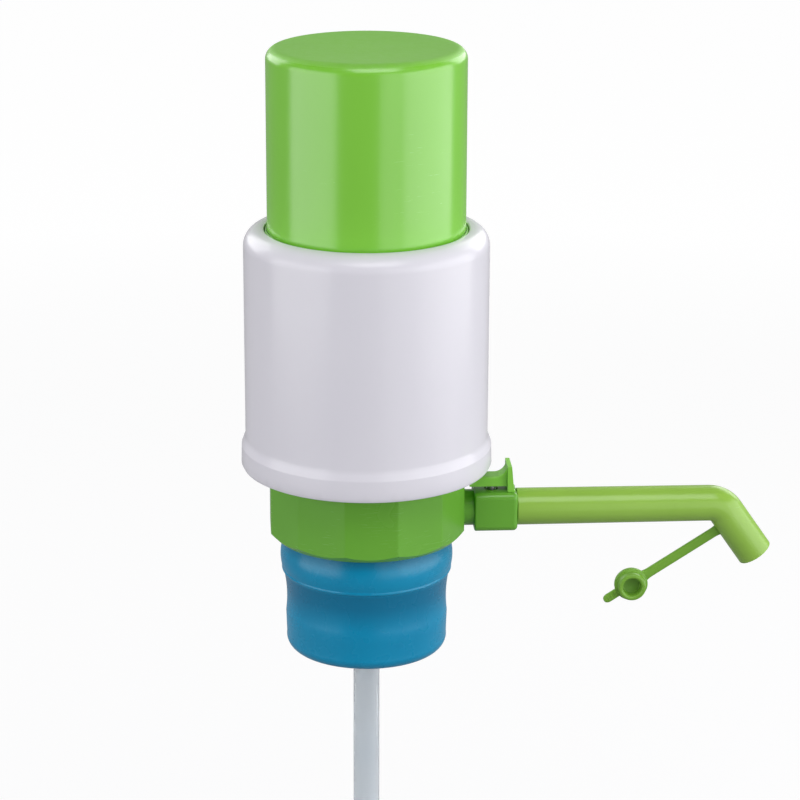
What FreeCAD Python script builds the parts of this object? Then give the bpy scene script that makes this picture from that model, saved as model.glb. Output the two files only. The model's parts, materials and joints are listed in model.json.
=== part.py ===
import FreeCAD, Part
import Sketcher
import math
import os
import re
from FreeCAD import Placement, Rotation, Vector

# Hand pump for a large water jug: a press cap over a bellows blows air into the jug, and the water
# comes up a dip tube and out of a swivelling spout.
# Millimetres, +Z up, +X towards the spout. The origin is on the pump's axis, in the plane where the
# rim of the jug's neck meets the gasket.

DIMENSIONS = {
    # fits, and how far a cutting tool or a joined shape reaches past a face
    "press_gap": 0.05,
    "snug_gap": 0.1,
    "loose_gap": 0.2,
    "overrun": 1.0,
    # press cap and what it carries
    "cap_radius": 36.4,
    "cap_wall": 2.2,
    "cap_top": 202.0,
    "cap_end": 123.0,
    "cap_roof": 3.0,
    "cap_round": 4.2,
    "cap_bead": 1.0,
    "bead_height": 2.6,
    "dish_radius": 31.0,
    "dish_depth": 0.8,
    "ring_height": 6.0,
    "ring_radius": 42.4,
    "ring_skirt": 1.8,
    "ring_chamfer": 1.5,
    "ring_reach": 2.0,
    "collar_radius": 37.3,
    "collar_drop": 0.6,
    "collar_chamfer": 0.3,
    "plate_radius": 30.8,
    "rib_thick": 4.0,
    "plate_thick": 3.0,
    "plate_gap": 2.0,
    "cap_screw_circle": 23.5,
    "inlet_hole_circle": 5.5,
    "inlet_umbrella": 8.5,
    # white housing
    "housing_radius": 45.2,
    "housing_wall": 2.2,
    "housing_top": 135.6,
    "housing_bottom": 45.0,
    "lip_radius": 37.6,
    "lip_thick": 3.6,
    "lip_round": 0.6,
    "shoulder_round": 6.5,
    "band_radius": 46.8,
    "band_height": 8.0,
    "band_flare": 4.0,
    "band_draft": 0.15,
    "band_chamfer": 0.6,
    "band_round": 1.2,
    "ledge_radius": 38.8,
    "ledge_thick": 3.2,
    "boss_radius": 3.0,
    "boss_height": 9.0,
    "housing_screw_circle": 40.0,
    # base
    "base_sides": 12,
    "base_apothem": 36.2,
    "base_bottom": 17.8,
    "base_chamfer": 1.3,
    "base_corner_round": 2.0,
    "chamber_radius": 31.0,
    "chamber_floor": 4.0,
    "chamber_slope": 3.0,
    "deck_radius": 42.6,
    "deck_bottom": 47.4,
    "deck_thick": 3.0,
    "spigot_radius": 28.9,
    "spigot_bore": 25.0,
    "spigot_bead": 0.9,
    "bead_low": 7.2,
    "bead_high": 10.0,
    "recess_gap": 0.4,
    "gasket_thick": 3.0,
    "riser_radius": 8.0,
    "riser_bottom": 12.0,
    "pipe_radius": 6.8,
    "channel_radius": 3.0,
    "groove_level": 3.4,
    "groove_width": 2.2,
    "groove_depth": 1.5,
    "ring_section": 0.72,
    "fine_spigot": 4.6,
    "nipple_length": 4.0,
    "clamp_screw_circle": 34.4,
    "air_hole_circle": 7.0,
    "air_hole_radius": 1.6,
    "pilot_depth": 7.0,
    "umbrella_radius": 11.0,
    "umbrella_dome": 1.8,
    "umbrella_edge": 0.7,
    "umbrella_middle": 2.5,
    "umbrella_stem": 1.5,
    "bulb_radius": 2.1,
    "bulb_tip": 1.1,
    "bulb_length": 2.2,
    # bellows and return spring
    "clamp_radius": 36.4,
    "clamp_bore": 28.6,
    "clamp_lip": 2.0,
    "fold_radius": 33.2,
    "fold_bore": 27.7,
    "fold_wall": 1.2,
    "first_fold": 3.0,
    "last_fold": 2.0,
    "flange_radius": 32.0,
    "flange_thick": 2.0,
    "flange_grip": 2.8,
    "spring_radius": 17.0,
    "spring_wire": 2.0,
    "spring_turns": 8,
    "seat_gap": 0.4,
    "seat_wall": 1.6,
    "seat_height": 3.0,
    # blue neck sleeve, for a neck of 55 mm
    "neck_radius": 27.5,
    "gasket_bore": 22.0,
    "sleeve_end": -27.0,
    "sleeve_top": 19.2,
    "sleeve_rim": 31.5,
    "bulge_radius": 32.55,
    "bulge_level": 8.2,
    "bulge_rise": 5.4,
    "crease_radius": 31.95,
    "crease_level": 4.0,
    "crease_depth": 0.55,
    "crease_width": 1.5,
    "waist_radius": 30.3,
    "waist_level": -5.0,
    "grip_radius": 30.6,
    "grip_level": -14.0,
    "hem_inset": 1.7,
    "hem_height": 4.2,
    "lead_in": 0.5,
    "lead_in_height": 3.0,
    # dip tube
    "tube_radius": 5.0,
    "tube_bore": 3.6,
    "tube_top": 23.8,
    "tube_length": 154.8,
    "joint_rib": 1.6,
    "connector_length": 30.0,
    "connector_radius": 6.7,
    "connector_chamfer": 0.6,
    "foot_length": 24.0,
    "foot_floor": 1.6,
    "foot_slot": 2.4,
    "foot_bridge": 2.0,
    # spout
    "spout_axis": 26.2,
    "spout_radius": 7.0,
    "leg_radius": 6.8,
    "spout_bore": 5.5,
    "socket_start": 40.3,
    "socket_end": 56.6,
    "socket_width": 15.6,
    "socket_height": 15.0,
    "socket_round": 2.3,
    "socket_end_round": 1.6,
    "socket_root_round": 0.7,
    "socket_bore": 4.7,
    "snap_place": 1.2,
    "snap_width": 1.4,
    "snap_depth": 0.5,
    "snap_ramp": 0.2,
    "snap_height": 0.35,
    "stem_place": 47.0,
    "spout_start": 49.9,
    "swivel_groove": 1.2,
    "swivel_depth": 0.9,
    "swivel_section": 0.46,
    "spout_gap": 0.15,
    "throat_length": 2.0,
    "corner_place": 134.3,
    "bend_radius": 8.0,
    "bend_angle": 55.2,
    "leg_length": 24.7,
    # release lever and its air valve, heights over the spout's axis
    "lever_width": 7.0,
    "lever_start": 38.6,
    "lever_low": 9.3,
    "lever_high": 13.1,
    "lever_round": 0.6,
    "lever_chamfer": 0.8,
    "fin_width": 11.0,
    "fin_place": 52.75,
    "fin_thick": 2.5,
    "fin_tip": 1.6,
    "fin_low": 7.8,
    "fin_height": 17.5,
    "foot_inner": 3.4,
    "foot_outer": 5.3,
    "foot_radius": 1.25,
    "foot_gap": 0.25,
    "pivot_place": 54.3,
    "pivot_height": 6.15,
    "pin_radius": 0.65,
    "pin_blind": 6.6,
    "pin_sunk": 0.4,
    "valve_seat": 5.6,
    "valve_pocket": 3.0,
    "valve_head": 2.3,
    "head_thick": 0.9,
    "head_chamfer": 0.2,
    "washer_radius": 2.6,
    "washer_thick": 0.9,
    "stem_radius": 1.0,
    "stem_sunk": 0.5,
    "button_top": 10.7,
    "button_radius": 2.1,
    "button_crown": 0.6,
    "crown_height": 0.4,
    "button_room": 0.7,
    "seat_sunk": 0.8,
    "vent_coil": 1.75,
    "vent_wire": 0.35,
    "vent_turns": 4,
    # dust plug and strap
    "strap_root": 8.7,
    "strap_angle": 33.3,
    "strap_width": 3.8,
    "strap_thick": 1.5,
    "strap_hinge": 4.6,
    "strap_seat": 0.75,
    "strap_gap": 0.25,
    "strap_reach": 38.8,
    "plug_flange": 6.4,
    "flange_width": 1.8,
    "plug_radius": 5.4,
    "plug_hole": 3.5,
    "plug_length": 3.6,
    "plug_floor": 0.5,
    "tab_reach": 12.2,
    "tab_width": 3.4,
    # screws
    "screw_radius": 1.25,
    "screw_length": 10.0,
    "short_screw": 7.0,
    "screw_crown": 0.7,
    "screw_head": 2.7,
    "head_height": 1.9,
    "pilot_radius": 1.3,
    "clear_radius": 1.7,
}

doc = FreeCAD.newDocument("jug_pump")
sheet = doc.addObject("Spreadsheet::Sheet", "size")
for row, (alias, number) in enumerate(DIMENSIONS.items(), start=1):
    sheet.set(f"A{row}", alias)
    sheet.set(f"B{row}", str(number))
    sheet.setAlias(f"B{row}", alias)
doc.recompute()

nodes = []


# ---------------------------------------------------------------- helpers

def bound(text):
    """The text of an expression, where each word of four letters or more is a cell of the sheet."""
    return re.sub(r"[a-z_]{4,}", r"size.\g<0>", str(text))


def value(text):
    """The number that an expression gives now."""
    return float(sheet.evalExpression(bound(text).replace("size.", "")))


def bind(item, prop, text):
    item.setExpression(prop, bound(text))


def node(item, name):
    """Names an object as one piece of the pump, to be written to its own file."""
    item.Label = name
    nodes.append(item)
    return item


def origin_feature(body, role):
    for feature in body.Origin.OriginFeatures:
        if feature.Role == role:
            return feature
    raise ValueError(role)


def upright_arc(start, middle, end):
    """The arc through three points, drawn anticlockwise as a sketch wants it."""
    anticlockwise = (middle - start).cross(end - middle).z > 0
    circle = Part.Arc(start, middle, end).toShape().Curve
    ends = (start, end) if anticlockwise else (end, start)
    first, last = [math.atan2(p.y - circle.Center.y, p.x - circle.Center.x) for p in ends]
    if last < first:
        last += 2 * math.pi
    return Part.ArcOfCircle(Part.Circle(circle.Center, Vector(0, 0, 1), circle.Radius), first, last)


def draw(sketch, outline):
    """Draws a closed outline whose corners are bound to the sheet.

    A step of two texts is a corner reached by a straight line, and a step of four is an arc through
    the first two to the corner at the last two."""
    corners = [Vector(value(step[-2]), value(step[-1]), 0) for step in outline]
    edges = []
    for index, start in enumerate(corners):
        step = outline[(index + 1) % len(outline)]
        end = corners[(index + 1) % len(outline)]
        if len(step) == 4:
            middle = Vector(value(step[0]), value(step[1]), 0)
            edge = sketch.addGeometry(upright_arc(start, middle, end), False)
            point = sketch.addGeometry(Part.Point(middle), True)
            place(sketch, point, 1, step[0], step[1])
            sketch.addConstraint(Sketcher.Constraint("PointOnObject", point, 1, edge))
        else:
            edge = sketch.addGeometry(Part.LineSegment(start, end), False)
        forward = sketch.getPoint(edge, 1).distanceToPoint(start) < 1e-6
        edges.append((edge, 1 if forward else 2, 2 if forward else 1))
    for index, (edge, first, last) in enumerate(edges):
        after, entry, _ = edges[(index + 1) % len(edges)]
        sketch.addConstraint(Sketcher.Constraint("Coincident", edge, last, after, entry))
        place(sketch, edge, first, *outline[index][-2:])


def place(sketch, geometry, point, across, up):
    """Ties a point of a sketch to two texts, its distances from the sketch's origin."""
    for kind, text, axis in (("DistanceX", across, -2), ("DistanceY", up, -1)):
        if abs(value(text)) < 1e-9:
            sketch.addConstraint(Sketcher.Constraint("PointOnObject", geometry, point, axis))
        else:
            distance = Sketcher.Constraint(kind, -1, 1, geometry, point, value(text))
            index = sketch.addConstraint(distance)
            bind(sketch, f"Constraints[{index}]", text)


def sketched(name, plane, outline):
    """A body with one sketch on one of its own origin planes."""
    body = doc.addObject("PartDesign::Body", name)
    sketch = body.newObject("Sketcher::SketchObject", name + "_outline")
    sketch.AttachmentSupport = (origin_feature(body, plane), [""])
    sketch.MapMode = "FlatFace"
    doc.recompute()
    draw(sketch, outline)
    return body, sketch


def turned(name, outline):
    """A body turned about the Z axis from an outline of radius and height."""
    body, sketch = sketched(name, "XZ_Plane", outline)
    turn = body.newObject("PartDesign::Revolution", name + "_turn")
    turn.Profile = sketch
    turn.ReferenceAxis = (sketch, ["V_Axis"])
    turn.Angle = 360
    doc.recompute()
    return body


def turned_on_x(name, outline):
    """A body turned about the X axis, from an outline of place along X and radius."""
    body, sketch = sketched(name, "XY_Plane", outline)
    turn = body.newObject("PartDesign::Revolution", name + "_turn")
    turn.Profile = sketch
    turn.ReferenceAxis = (sketch, ["H_Axis"])
    turn.Angle = 360
    doc.recompute()
    bind(body, "Placement.Base.z", "spout_axis")
    return body


def padded(name, plane, outline, width):
    """A body padded from an outline, half its width to each side of the plane."""
    body, sketch = sketched(name, plane, outline)
    pad = body.newObject("PartDesign::Pad", name + "_pad")
    pad.Profile = sketch
    pad.Midplane = True
    bind(pad, "Length", width)
    doc.recompute()
    return body


def rounded(body, radius, chosen):
    """Rounds the edges of a body that the function chosen picks."""
    names = [f"Edge{i}" for i, edge in enumerate(body.Tip.Shape.Edges, start=1) if chosen(edge)]
    if not names:
        raise ValueError(body.Label + " has no such edge")
    base = body.Tip
    fillet = body.newObject("PartDesign::Fillet", body.Name + "_round")
    fillet.Base = (base, names)
    bind(fillet, "Radius", radius)
    doc.recompute()
    return body


def rim(*places):
    """Picks the circular edges about Z at the given pairs of radius and height."""
    wanted = [(value(radius), value(height)) for radius, height in places]

    def chosen(edge):
        if edge.Degenerated or not isinstance(edge.Curve, Part.Circle):
            return False
        spot = (edge.Curve.Radius, edge.Curve.Center.z)
        return any(math.dist(spot, place) < 0.02 for place in wanted)

    return chosen


TINY = 0.01

TURN = {
    "z": Rotation(),
    "x": Rotation(Vector(0, 1, 0), 90),
    "y": Rotation(Vector(1, 0, 0), -90),
}


def put(item, at, along="z"):
    item.Placement = Placement(Vector(), TURN[along])
    for letter, text in zip("xyz", at):
        bind(item, "Placement.Base." + letter, text)
    return item


def cylinder(name, radius, height, at=("0", "0", "0"), along="z"):
    item = doc.addObject("Part::Cylinder", name)
    bind(item, "Radius", radius)
    bind(item, "Height", height)
    return put(item, at, along)


def box(name, sizes, at):
    item = doc.addObject("Part::Box", name)
    for side, text in zip(("Length", "Width", "Height"), sizes):
        bind(item, side, text)
    return put(item, at)


def torus(name, ring, section, at, along="z"):
    item = doc.addObject("Part::Torus", name)
    bind(item, "Radius1", ring)
    bind(item, "Radius2", section)
    return put(item, at, along)


def joined(name, items):
    item = doc.addObject("Part::MultiFuse", name)
    item.Shapes = items
    return item


def shared(name, items):
    item = doc.addObject("Part::MultiCommon", name)
    item.Shapes = items
    return item


def group(name, items):
    item = doc.addObject("Part::Compound", name)
    item.Links = items
    return item


def cut(name, base, tools):
    item = doc.addObject("Part::Cut", name)
    item.Base = base
    item.Tool = tools[0] if len(tools) == 1 else joined(name + "_tools", tools)
    return item


def on_circle(circle, degrees, height):
    """A place on a circle about the Z axis, as three texts."""
    return (f"{circle} * cos({degrees} deg)", f"{circle} * sin({degrees} deg)", height)


def holes(name, radius, depth, circle, height, angles):
    """Upright cylinders on a circle about the Z axis, to cut as holes or add as bosses."""
    return [
        cylinder(f"{name}_{degrees}", radius, depth, on_circle(circle, degrees, height))
        for degrees in angles
    ]


def screw(name, at, upside_down):
    """A pan-head screw with its head's seat at the given place, pointing down or up."""
    body = turned(name, [
        ("0", "head_height"),
        ("0", "-screw_length"),
        ("screw_radius", "-screw_length"),
        ("screw_radius", "0"),
        ("screw_head", "0"),
        ("screw_head", "head_height / 2"),
        ("screw_crown * screw_head", "head_height"),
    ])
    body.Placement = Placement(Vector(), Rotation(Vector(1, 0, 0), 180 if upside_down else 0))
    for letter, text in zip("xyz", at):
        bind(body, "Placement.Base." + letter, text)
    return body


def above_axis(height):
    """A level given as a height over the spout's axis."""
    return f"spout_axis + ({height})"


HOUSING_SCREW_ANGLES = (60, 150, 240, 330)
CLAMP_SCREW_ANGLES = (15, 105, 195, 285)
CAP_SCREW_ANGLES = (45, 135, 225, 315)
AIR_HOLE_ANGLES = range(0, 360, 60)
INLET_HOLE_ANGLES = range(0, 360, 72)
DECK_TOP = "deck_bottom + deck_thick"
PLATE_TOP = "cap_top - cap_roof - plate_gap - flange_thick"
PLATE_UNDER = f"{PLATE_TOP} - plate_thick"


# ---------------------------------------------------------------- housing

def outer_housing():
    inner = "housing_radius - housing_wall"
    shell = turned("housing_shell", [
        ("deck_radius + loose_gap", "housing_bottom"),
        ("band_radius - band_chamfer", "housing_bottom"),
        ("band_radius", "housing_bottom + 2 * band_chamfer"),
        ("band_radius - band_draft", "housing_bottom + band_height"),
        ("housing_radius", "housing_bottom + band_height + band_flare"),
        ("housing_radius", "housing_top"),
        ("lip_radius", "housing_top"),
        ("lip_radius", "housing_top - lip_thick"),
        (inner, "housing_top - lip_thick"),
        (inner, f"{DECK_TOP} + ledge_thick"),
        ("ledge_radius", f"{DECK_TOP} + ledge_thick"),
        ("ledge_radius", DECK_TOP),
        ("deck_radius + loose_gap", DECK_TOP),
    ])
    rounded(shell, "shoulder_round", rim(("housing_radius", "housing_top")))
    rounded(shell, "lip_round", rim(("lip_radius", "housing_top")))
    rounded(shell, "band_round", rim(("band_radius - band_draft", "housing_bottom + band_height")))
    bosses = holes("housing_boss", "boss_radius", "boss_height", "housing_screw_circle",
                   DECK_TOP, HOUSING_SCREW_ANGLES)
    pilots = holes("housing_pilot", "pilot_radius", "boss_height - overrun", "housing_screw_circle",
                   DECK_TOP, HOUSING_SCREW_ANGLES)
    return cut("housing_drilled", joined("housing_bossed", [shell, *bosses]), pilots)


# ---------------------------------------------------------------- base

def base_skirt():
    """Twelve flats, one of them towards the spout, with the lower corners turned off."""
    sides = round(value("base_sides"))
    corner_circle = "base_apothem / cos(180 deg / base_sides)"
    corners = []
    for index in range(sides):
        turn = f"({index} + 0.5) * 360 deg / base_sides"
        corners.append((f"{corner_circle} * cos({turn})", f"{corner_circle} * sin({turn})"))
    prism = padded("base_prism", "XY_Plane", corners, "deck_bottom - base_bottom")
    bind(prism, "Placement.Base.z", "(deck_bottom + base_bottom) / 2")
    rounded(prism, "base_corner_round", lambda edge: abs(edge.tangentAt(edge.FirstParameter).z) > 0.99)
    cone = doc.addObject("Part::Cone", "base_corner_cone")
    bind(cone, "Radius1", "base_apothem - base_chamfer")
    bind(cone, "Radius2", "base_apothem - base_chamfer + deck_bottom - base_bottom")
    bind(cone, "Height", "deck_bottom - base_bottom")
    put(cone, ("0", "0", "base_bottom"))
    return shared("base_skirt", [prism, cone])


def base_turned():
    """The round deck and the neck spigot with the bead that the sleeve is stretched over."""
    return turned("base_round", [
        ("0", "gasket_thick"),
        ("spigot_radius", "gasket_thick"),
        ("spigot_radius", "bead_low - spigot_bead"),
        ("spigot_radius + spigot_bead", "bead_low"),
        ("spigot_radius + spigot_bead", "bead_high"),
        ("spigot_radius", "bead_high + spigot_bead"),
        ("spigot_radius", "base_bottom + overrun"),
        ("base_apothem - 2 * overrun", "base_bottom + overrun"),
        ("base_apothem - 2 * overrun", "deck_bottom"),
        ("deck_radius", "deck_bottom"),
        ("deck_radius", DECK_TOP),
        ("0", DECK_TOP),
    ])


def base_cavity():
    """The air chamber under the deck, open down through the neck spigot."""
    return turned("base_air_chamber", [
        ("0", "gasket_thick - overrun"),
        ("spigot_bore", "gasket_thick - overrun"),
        ("spigot_bore", "base_bottom + chamber_floor"),
        ("chamber_radius", "base_bottom + chamber_floor + chamber_slope"),
        ("chamber_radius", "deck_bottom"),
        ("0", "deck_bottom"),
    ])


def base():
    recess = cut("base_recess_ring",
                 cylinder("base_recess", "sleeve_rim + recess_gap",
                          "sleeve_top + recess_gap - base_bottom + overrun",
                          ("0", "0", "base_bottom - overrun")),
                 [cylinder("base_recess_core", "spigot_radius", "base_bottom", ("0", "0", "bead_high"))])
    shell = cut("base_shell", joined("base_solid", [base_skirt(), base_turned()]),
                [base_cavity(), recess])
    riser = cylinder("riser", "riser_radius", "spout_axis + pipe_radius - riser_bottom",
                     ("0", "0", "riser_bottom"))
    pipe = cylinder("cross_pipe", "pipe_radius", "socket_start", ("0", "0", "spout_axis"), "x")
    nipple = cylinder("nipple_end", "fine_spigot", "nipple_length", ("socket_start", "0", "spout_axis"), "x")
    seat_radius = "spring_radius - spring_wire / 2 - seat_gap"
    locating = cut("spring_seat_ring",
                   cylinder("spring_seat", seat_radius, "seat_height + deck_thick / 2",
                            ("0", "0", f"{DECK_TOP} - deck_thick / 2")),
                   [cylinder("spring_seat_core", f"{seat_radius} - seat_wall", "seat_height + deck_thick",
                             ("0", "0", f"{DECK_TOP} - deck_thick / 2"))])
    solid = joined("base_whole", [shell, riser, pipe, nipple, locating])
    through_deck = "deck_thick + 2 * overrun"
    under_deck = "deck_bottom - overrun"
    channels = [
        cylinder("riser_socket", "tube_radius + snug_gap", "tube_top + loose_gap - riser_bottom + overrun",
                 ("0", "0", "riser_bottom - overrun")),
        cylinder("riser_ring_groove", "tube_radius + groove_depth", "groove_width",
                 ("0", "0", "riser_bottom + groove_level")),
        cylinder("riser_channel", "channel_radius", "spout_axis - tube_top",
                 ("0", "0", "tube_top")),
        cylinder("cross_channel", "channel_radius", "stem_place + channel_radius",
                 ("-channel_radius", "0", "spout_axis"), "x"),
        cylinder("valve_stem_hole", "air_hole_radius", through_deck, ("0", "0", under_deck)),
    ]
    air = holes("air_hole", "air_hole_radius", through_deck, "air_hole_circle", under_deck,
                AIR_HOLE_ANGLES)
    clear = holes("deck_clearance", "clear_radius", through_deck, "housing_screw_circle", under_deck,
                  HOUSING_SCREW_ANGLES)
    pilots = holes("deck_pilot", "pilot_radius", "pilot_depth + overrun", "clamp_screw_circle",
                   f"{DECK_TOP} - pilot_depth", CLAMP_SCREW_ANGLES)
    return cut("base_drilled", solid, [*channels, *air, *clear, *pilots])


def neck_sleeve():
    """Soft sleeve: it grips the jug's neck below, and bulges where it is stretched over the bead."""
    slack = "spigot_radius + press_gap"
    over_bead = "spigot_radius + spigot_bead + press_gap"
    return turned("sleeve_turned", [
        (slack, "sleeve_top"),
        (slack, "bead_high + spigot_bead"),
        (over_bead, "bead_high"),
        (over_bead, "bead_low"),
        (slack, "bead_low - spigot_bead"),
        (slack, "gasket_thick"),
        ("neck_radius", "gasket_thick"),
        ("neck_radius", "sleeve_end + lead_in_height"),
        ("neck_radius + lead_in", "sleeve_end"),
        ("waist_radius - hem_inset", "sleeve_end"),
        ("waist_radius - 0.3 * hem_inset", "sleeve_end + 0.3 * hem_height",
         "waist_radius", "sleeve_end + hem_height"),
        ("grip_radius", "grip_level"),
        ("waist_radius", "waist_level",
         "crease_radius - crease_depth", "crease_level - crease_width / 1.5"),
        ("crease_radius + crease_depth / 5", "crease_level - crease_width / 5",
         "crease_radius", "crease_level + crease_width / 3"),
        ("bulge_radius", "bulge_level", "crease_radius", "bulge_level + bulge_rise"),
        ("sleeve_rim", "sleeve_top"),
    ])


def neck_gasket():
    return turned("gasket_turned", [
        ("gasket_bore", "0"),
        ("neck_radius - snug_gap", "0"),
        ("neck_radius - snug_gap", "gasket_thick"),
        ("gasket_bore", "gasket_thick"),
    ])


def umbrella_valve(name, seat, through, radius):
    """A rubber umbrella under a plate, with its stem up through the plate and a bulb above it."""
    above = f"{seat} + {through}"
    return turned(name, [
        ("0", f"{seat} - umbrella_dome"),
        ("umbrella_middle", f"{seat} - umbrella_dome"),
        (radius, f"{seat} - umbrella_edge"),
        (radius, seat),
        ("umbrella_stem", seat),
        ("umbrella_stem", above),
        ("bulb_radius", f"{above} + 0.2 * bulb_length"),
        ("bulb_tip", f"{above} + bulb_length"),
        ("0", f"{above} + bulb_length"),
    ])


def bellows_clamp():
    flange_top = f"{DECK_TOP} + flange_thick"
    ring = turned("clamp_turned", [
        ("flange_radius + loose_gap", DECK_TOP),
        ("clamp_radius", DECK_TOP),
        ("clamp_radius", f"{flange_top} + clamp_lip"),
        ("clamp_bore", f"{flange_top} + clamp_lip"),
        ("clamp_bore", flange_top),
        ("flange_radius + loose_gap", flange_top),
    ])
    clear = holes("clamp_clearance", "clear_radius", "flange_thick + clamp_lip + 2 * overrun",
                  "clamp_screw_circle", f"{DECK_TOP} - overrun", CLAMP_SCREW_ANGLES)
    return cut("clamp_drilled", ring, clear)


def base_screws():
    """Four screws up through the deck into the housing, and four down through the bellows clamp."""
    screws = []
    for degrees in HOUSING_SCREW_ANGLES:
        at = on_circle("housing_screw_circle", degrees, "deck_bottom")
        screws.append(screw(f"housing_screw_{degrees}", at, True))
    for degrees in CLAMP_SCREW_ANGLES:
        at = on_circle("clamp_screw_circle", degrees, f"{DECK_TOP} + flange_thick + clamp_lip")
        screws.append(screw(f"clamp_screw_{degrees}", at, False))
    return group("base_screw_set", screws)


# ---------------------------------------------------------------- bellows, spring and cap

FOLDS = 9


def bellows():
    """Rubber bellows, its lower flange under the clamp ring and its upper one over the cap's plate."""
    low = f"{DECK_TOP} + flange_thick + first_fold"
    high = f"{PLATE_UNDER} - last_fold"
    step = f"(({high}) - ({low})) / {FOLDS}"
    outside = []
    for fold in range(FOLDS):
        outside.append(("fold_bore", f"{low} + {fold} * {step}"))
        outside.append(("fold_radius", f"{low} + {fold + 0.5} * {step}"))
    inside = [(f"{radius} - fold_wall", level) for radius, level in reversed(outside)]
    bottom = [("fold_bore - fold_wall / 3", DECK_TOP), ("flange_radius", DECK_TOP),
              ("flange_radius", f"{DECK_TOP} + flange_thick"),
              ("fold_bore", f"{DECK_TOP} + flange_thick")]
    top = [("fold_radius", PLATE_UNDER), ("fold_radius", f"{PLATE_TOP} + flange_thick"),
           ("plate_radius - flange_grip", f"{PLATE_TOP} + flange_thick"),
           ("plate_radius - flange_grip", PLATE_TOP),
           ("plate_radius + loose_gap", PLATE_TOP), ("plate_radius + loose_gap", PLATE_UNDER)]
    return turned("bellows_turned", [*bottom, *outside, *top, *inside])


def coil(name, radius, wire, turns, low, high):
    """A round wire wound about the Z axis into a compression spring between two levels."""
    body = doc.addObject("PartDesign::Body", name)
    sketch = body.newObject("Sketcher::SketchObject", name + "_wire")
    sketch.AttachmentSupport = (origin_feature(body, "XZ_Plane"), [""])
    sketch.MapMode = "FlatFace"
    doc.recompute()
    middle = Vector(value(radius), value(f"{low} + ({wire}) / 2"), 0)
    circle = sketch.addGeometry(Part.Circle(middle, Vector(0, 0, 1), value(wire) / 2), False)
    place(sketch, circle, 3, radius, f"{low} + ({wire}) / 2")
    round_wire = sketch.addConstraint(Sketcher.Constraint("Radius", circle, value(wire) / 2))
    bind(sketch, f"Constraints[{round_wire}]", f"({wire}) / 2")
    winding = body.newObject("PartDesign::AdditiveHelix", name + "_winding")
    winding.Profile = sketch
    winding.ReferenceAxis = (sketch, ["V_Axis"])
    winding.Mode = "height-turns-angle"
    bind(winding, "Height", f"({high}) - ({low}) - ({wire})")
    bind(winding, "Turns", turns)
    doc.recompute()
    return body


def return_spring():
    return coil("return_coil", "spring_radius", "spring_wire", "spring_turns", DECK_TOP, PLATE_UNDER)


def press_cap():
    ceiling = "cap_top - cap_roof"
    rib_low = f"{ceiling} - plate_gap"
    inner = "cap_radius - cap_wall"
    shell = turned("cap_shell", [
        (inner, "cap_end"),
        ("cap_radius + cap_bead", "cap_end"),
        ("cap_radius + cap_bead", "cap_end + bead_height"),
        ("cap_radius", "cap_end + bead_height"),
        ("cap_radius", "cap_top"),
        ("dish_radius", "cap_top"),
        ("dish_radius / 2", "cap_top - 0.75 * dish_depth", "0", "cap_top - dish_depth"),
        ("0", ceiling),
        ("plate_radius - rib_thick", ceiling),
        ("plate_radius - rib_thick", rib_low),
        ("plate_radius", rib_low),
        ("plate_radius", ceiling),
        (inner, ceiling),
    ])
    rounded(shell, "cap_round", rim(("cap_radius", "cap_top")))
    bosses = holes("cap_boss", "boss_radius", f"{ceiling} + overrun / 2 - ({PLATE_TOP})",
                   "cap_screw_circle", PLATE_TOP, CAP_SCREW_ANGLES)
    pilots = holes("cap_pilot", "pilot_radius", "short_screw - plate_thick + snug_gap + press_gap",
                   "cap_screw_circle", f"{PLATE_TOP} - snug_gap", CAP_SCREW_ANGLES)
    return cut("cap_drilled", joined("cap_bossed", [shell, *bosses]), pilots)


def cap_guide_ring():
    """Ring snapped over the cap's bead: it runs in the housing and stops under the lip.

    Its collar stands up in the lip round the cap's foot."""
    low = "cap_end + bead_height + snug_gap"
    high = f"{low} + ring_height"
    collar_top = "housing_top - collar_drop"
    return turned("guide_turned", [
        ("cap_radius + snug_gap", low),
        ("ring_radius - ring_skirt", low),
        ("ring_radius - ring_skirt", "cap_end - ring_reach"),
        ("ring_radius", "cap_end - ring_reach"),
        ("ring_radius", f"{high} - ring_chamfer"),
        ("ring_radius - ring_chamfer", high),
        ("collar_radius", high),
        ("collar_radius", f"{collar_top} - collar_chamfer"),
        ("collar_radius - collar_chamfer", collar_top),
        ("cap_radius + snug_gap", collar_top),
    ])


def bellows_plate():
    through = "plate_thick + 2 * overrun"
    under = f"{PLATE_UNDER} - overrun"
    plate = cylinder("plate_disc", "plate_radius", "plate_thick", ("0", "0", PLATE_UNDER))
    stem = cylinder("plate_stem_hole", "air_hole_radius", through, ("0", "0", under))
    air = holes("plate_air_hole", "air_hole_radius", through, "inlet_hole_circle", under,
                INLET_HOLE_ANGLES)
    clear = holes("plate_clearance", "clear_radius", through, "cap_screw_circle", under,
                  CAP_SCREW_ANGLES)
    return cut("plate_drilled", plate, [stem, *air, *clear])


def cap_screws():
    screws = []
    for degrees in CAP_SCREW_ANGLES:
        at = on_circle("cap_screw_circle", degrees, PLATE_UNDER)
        screws.append(short_screw(f"cap_screw_{degrees}", at))
    return group("cap_screw_set", screws)


def short_screw(name, at):
    """A pan-head screw pointing up, short enough to stay under the cap's roof."""
    body = turned(name, [
        ("0", "-head_height"),
        ("screw_crown * screw_head", "-head_height"),
        ("screw_head", "-head_height / 2"),
        ("screw_head", "0"),
        ("screw_radius", "0"),
        ("screw_radius", "short_screw"),
        ("0", "short_screw"),
    ])
    for letter, text in zip("xyz", at):
        bind(body, "Placement.Base." + letter, text)
    return body


# ---------------------------------------------------------------- dip tube

def pipe_length(name, top, length):
    return turned(name, [
        ("tube_bore", f"{top} - ({length})"),
        ("tube_radius", f"{top} - ({length})"),
        ("tube_radius", top),
        ("tube_bore", top),
    ])


TUBE_NAMES = ("upper", "middle", "lower")
TUBE_STEP = "(tube_length + joint_rib)"


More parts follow.
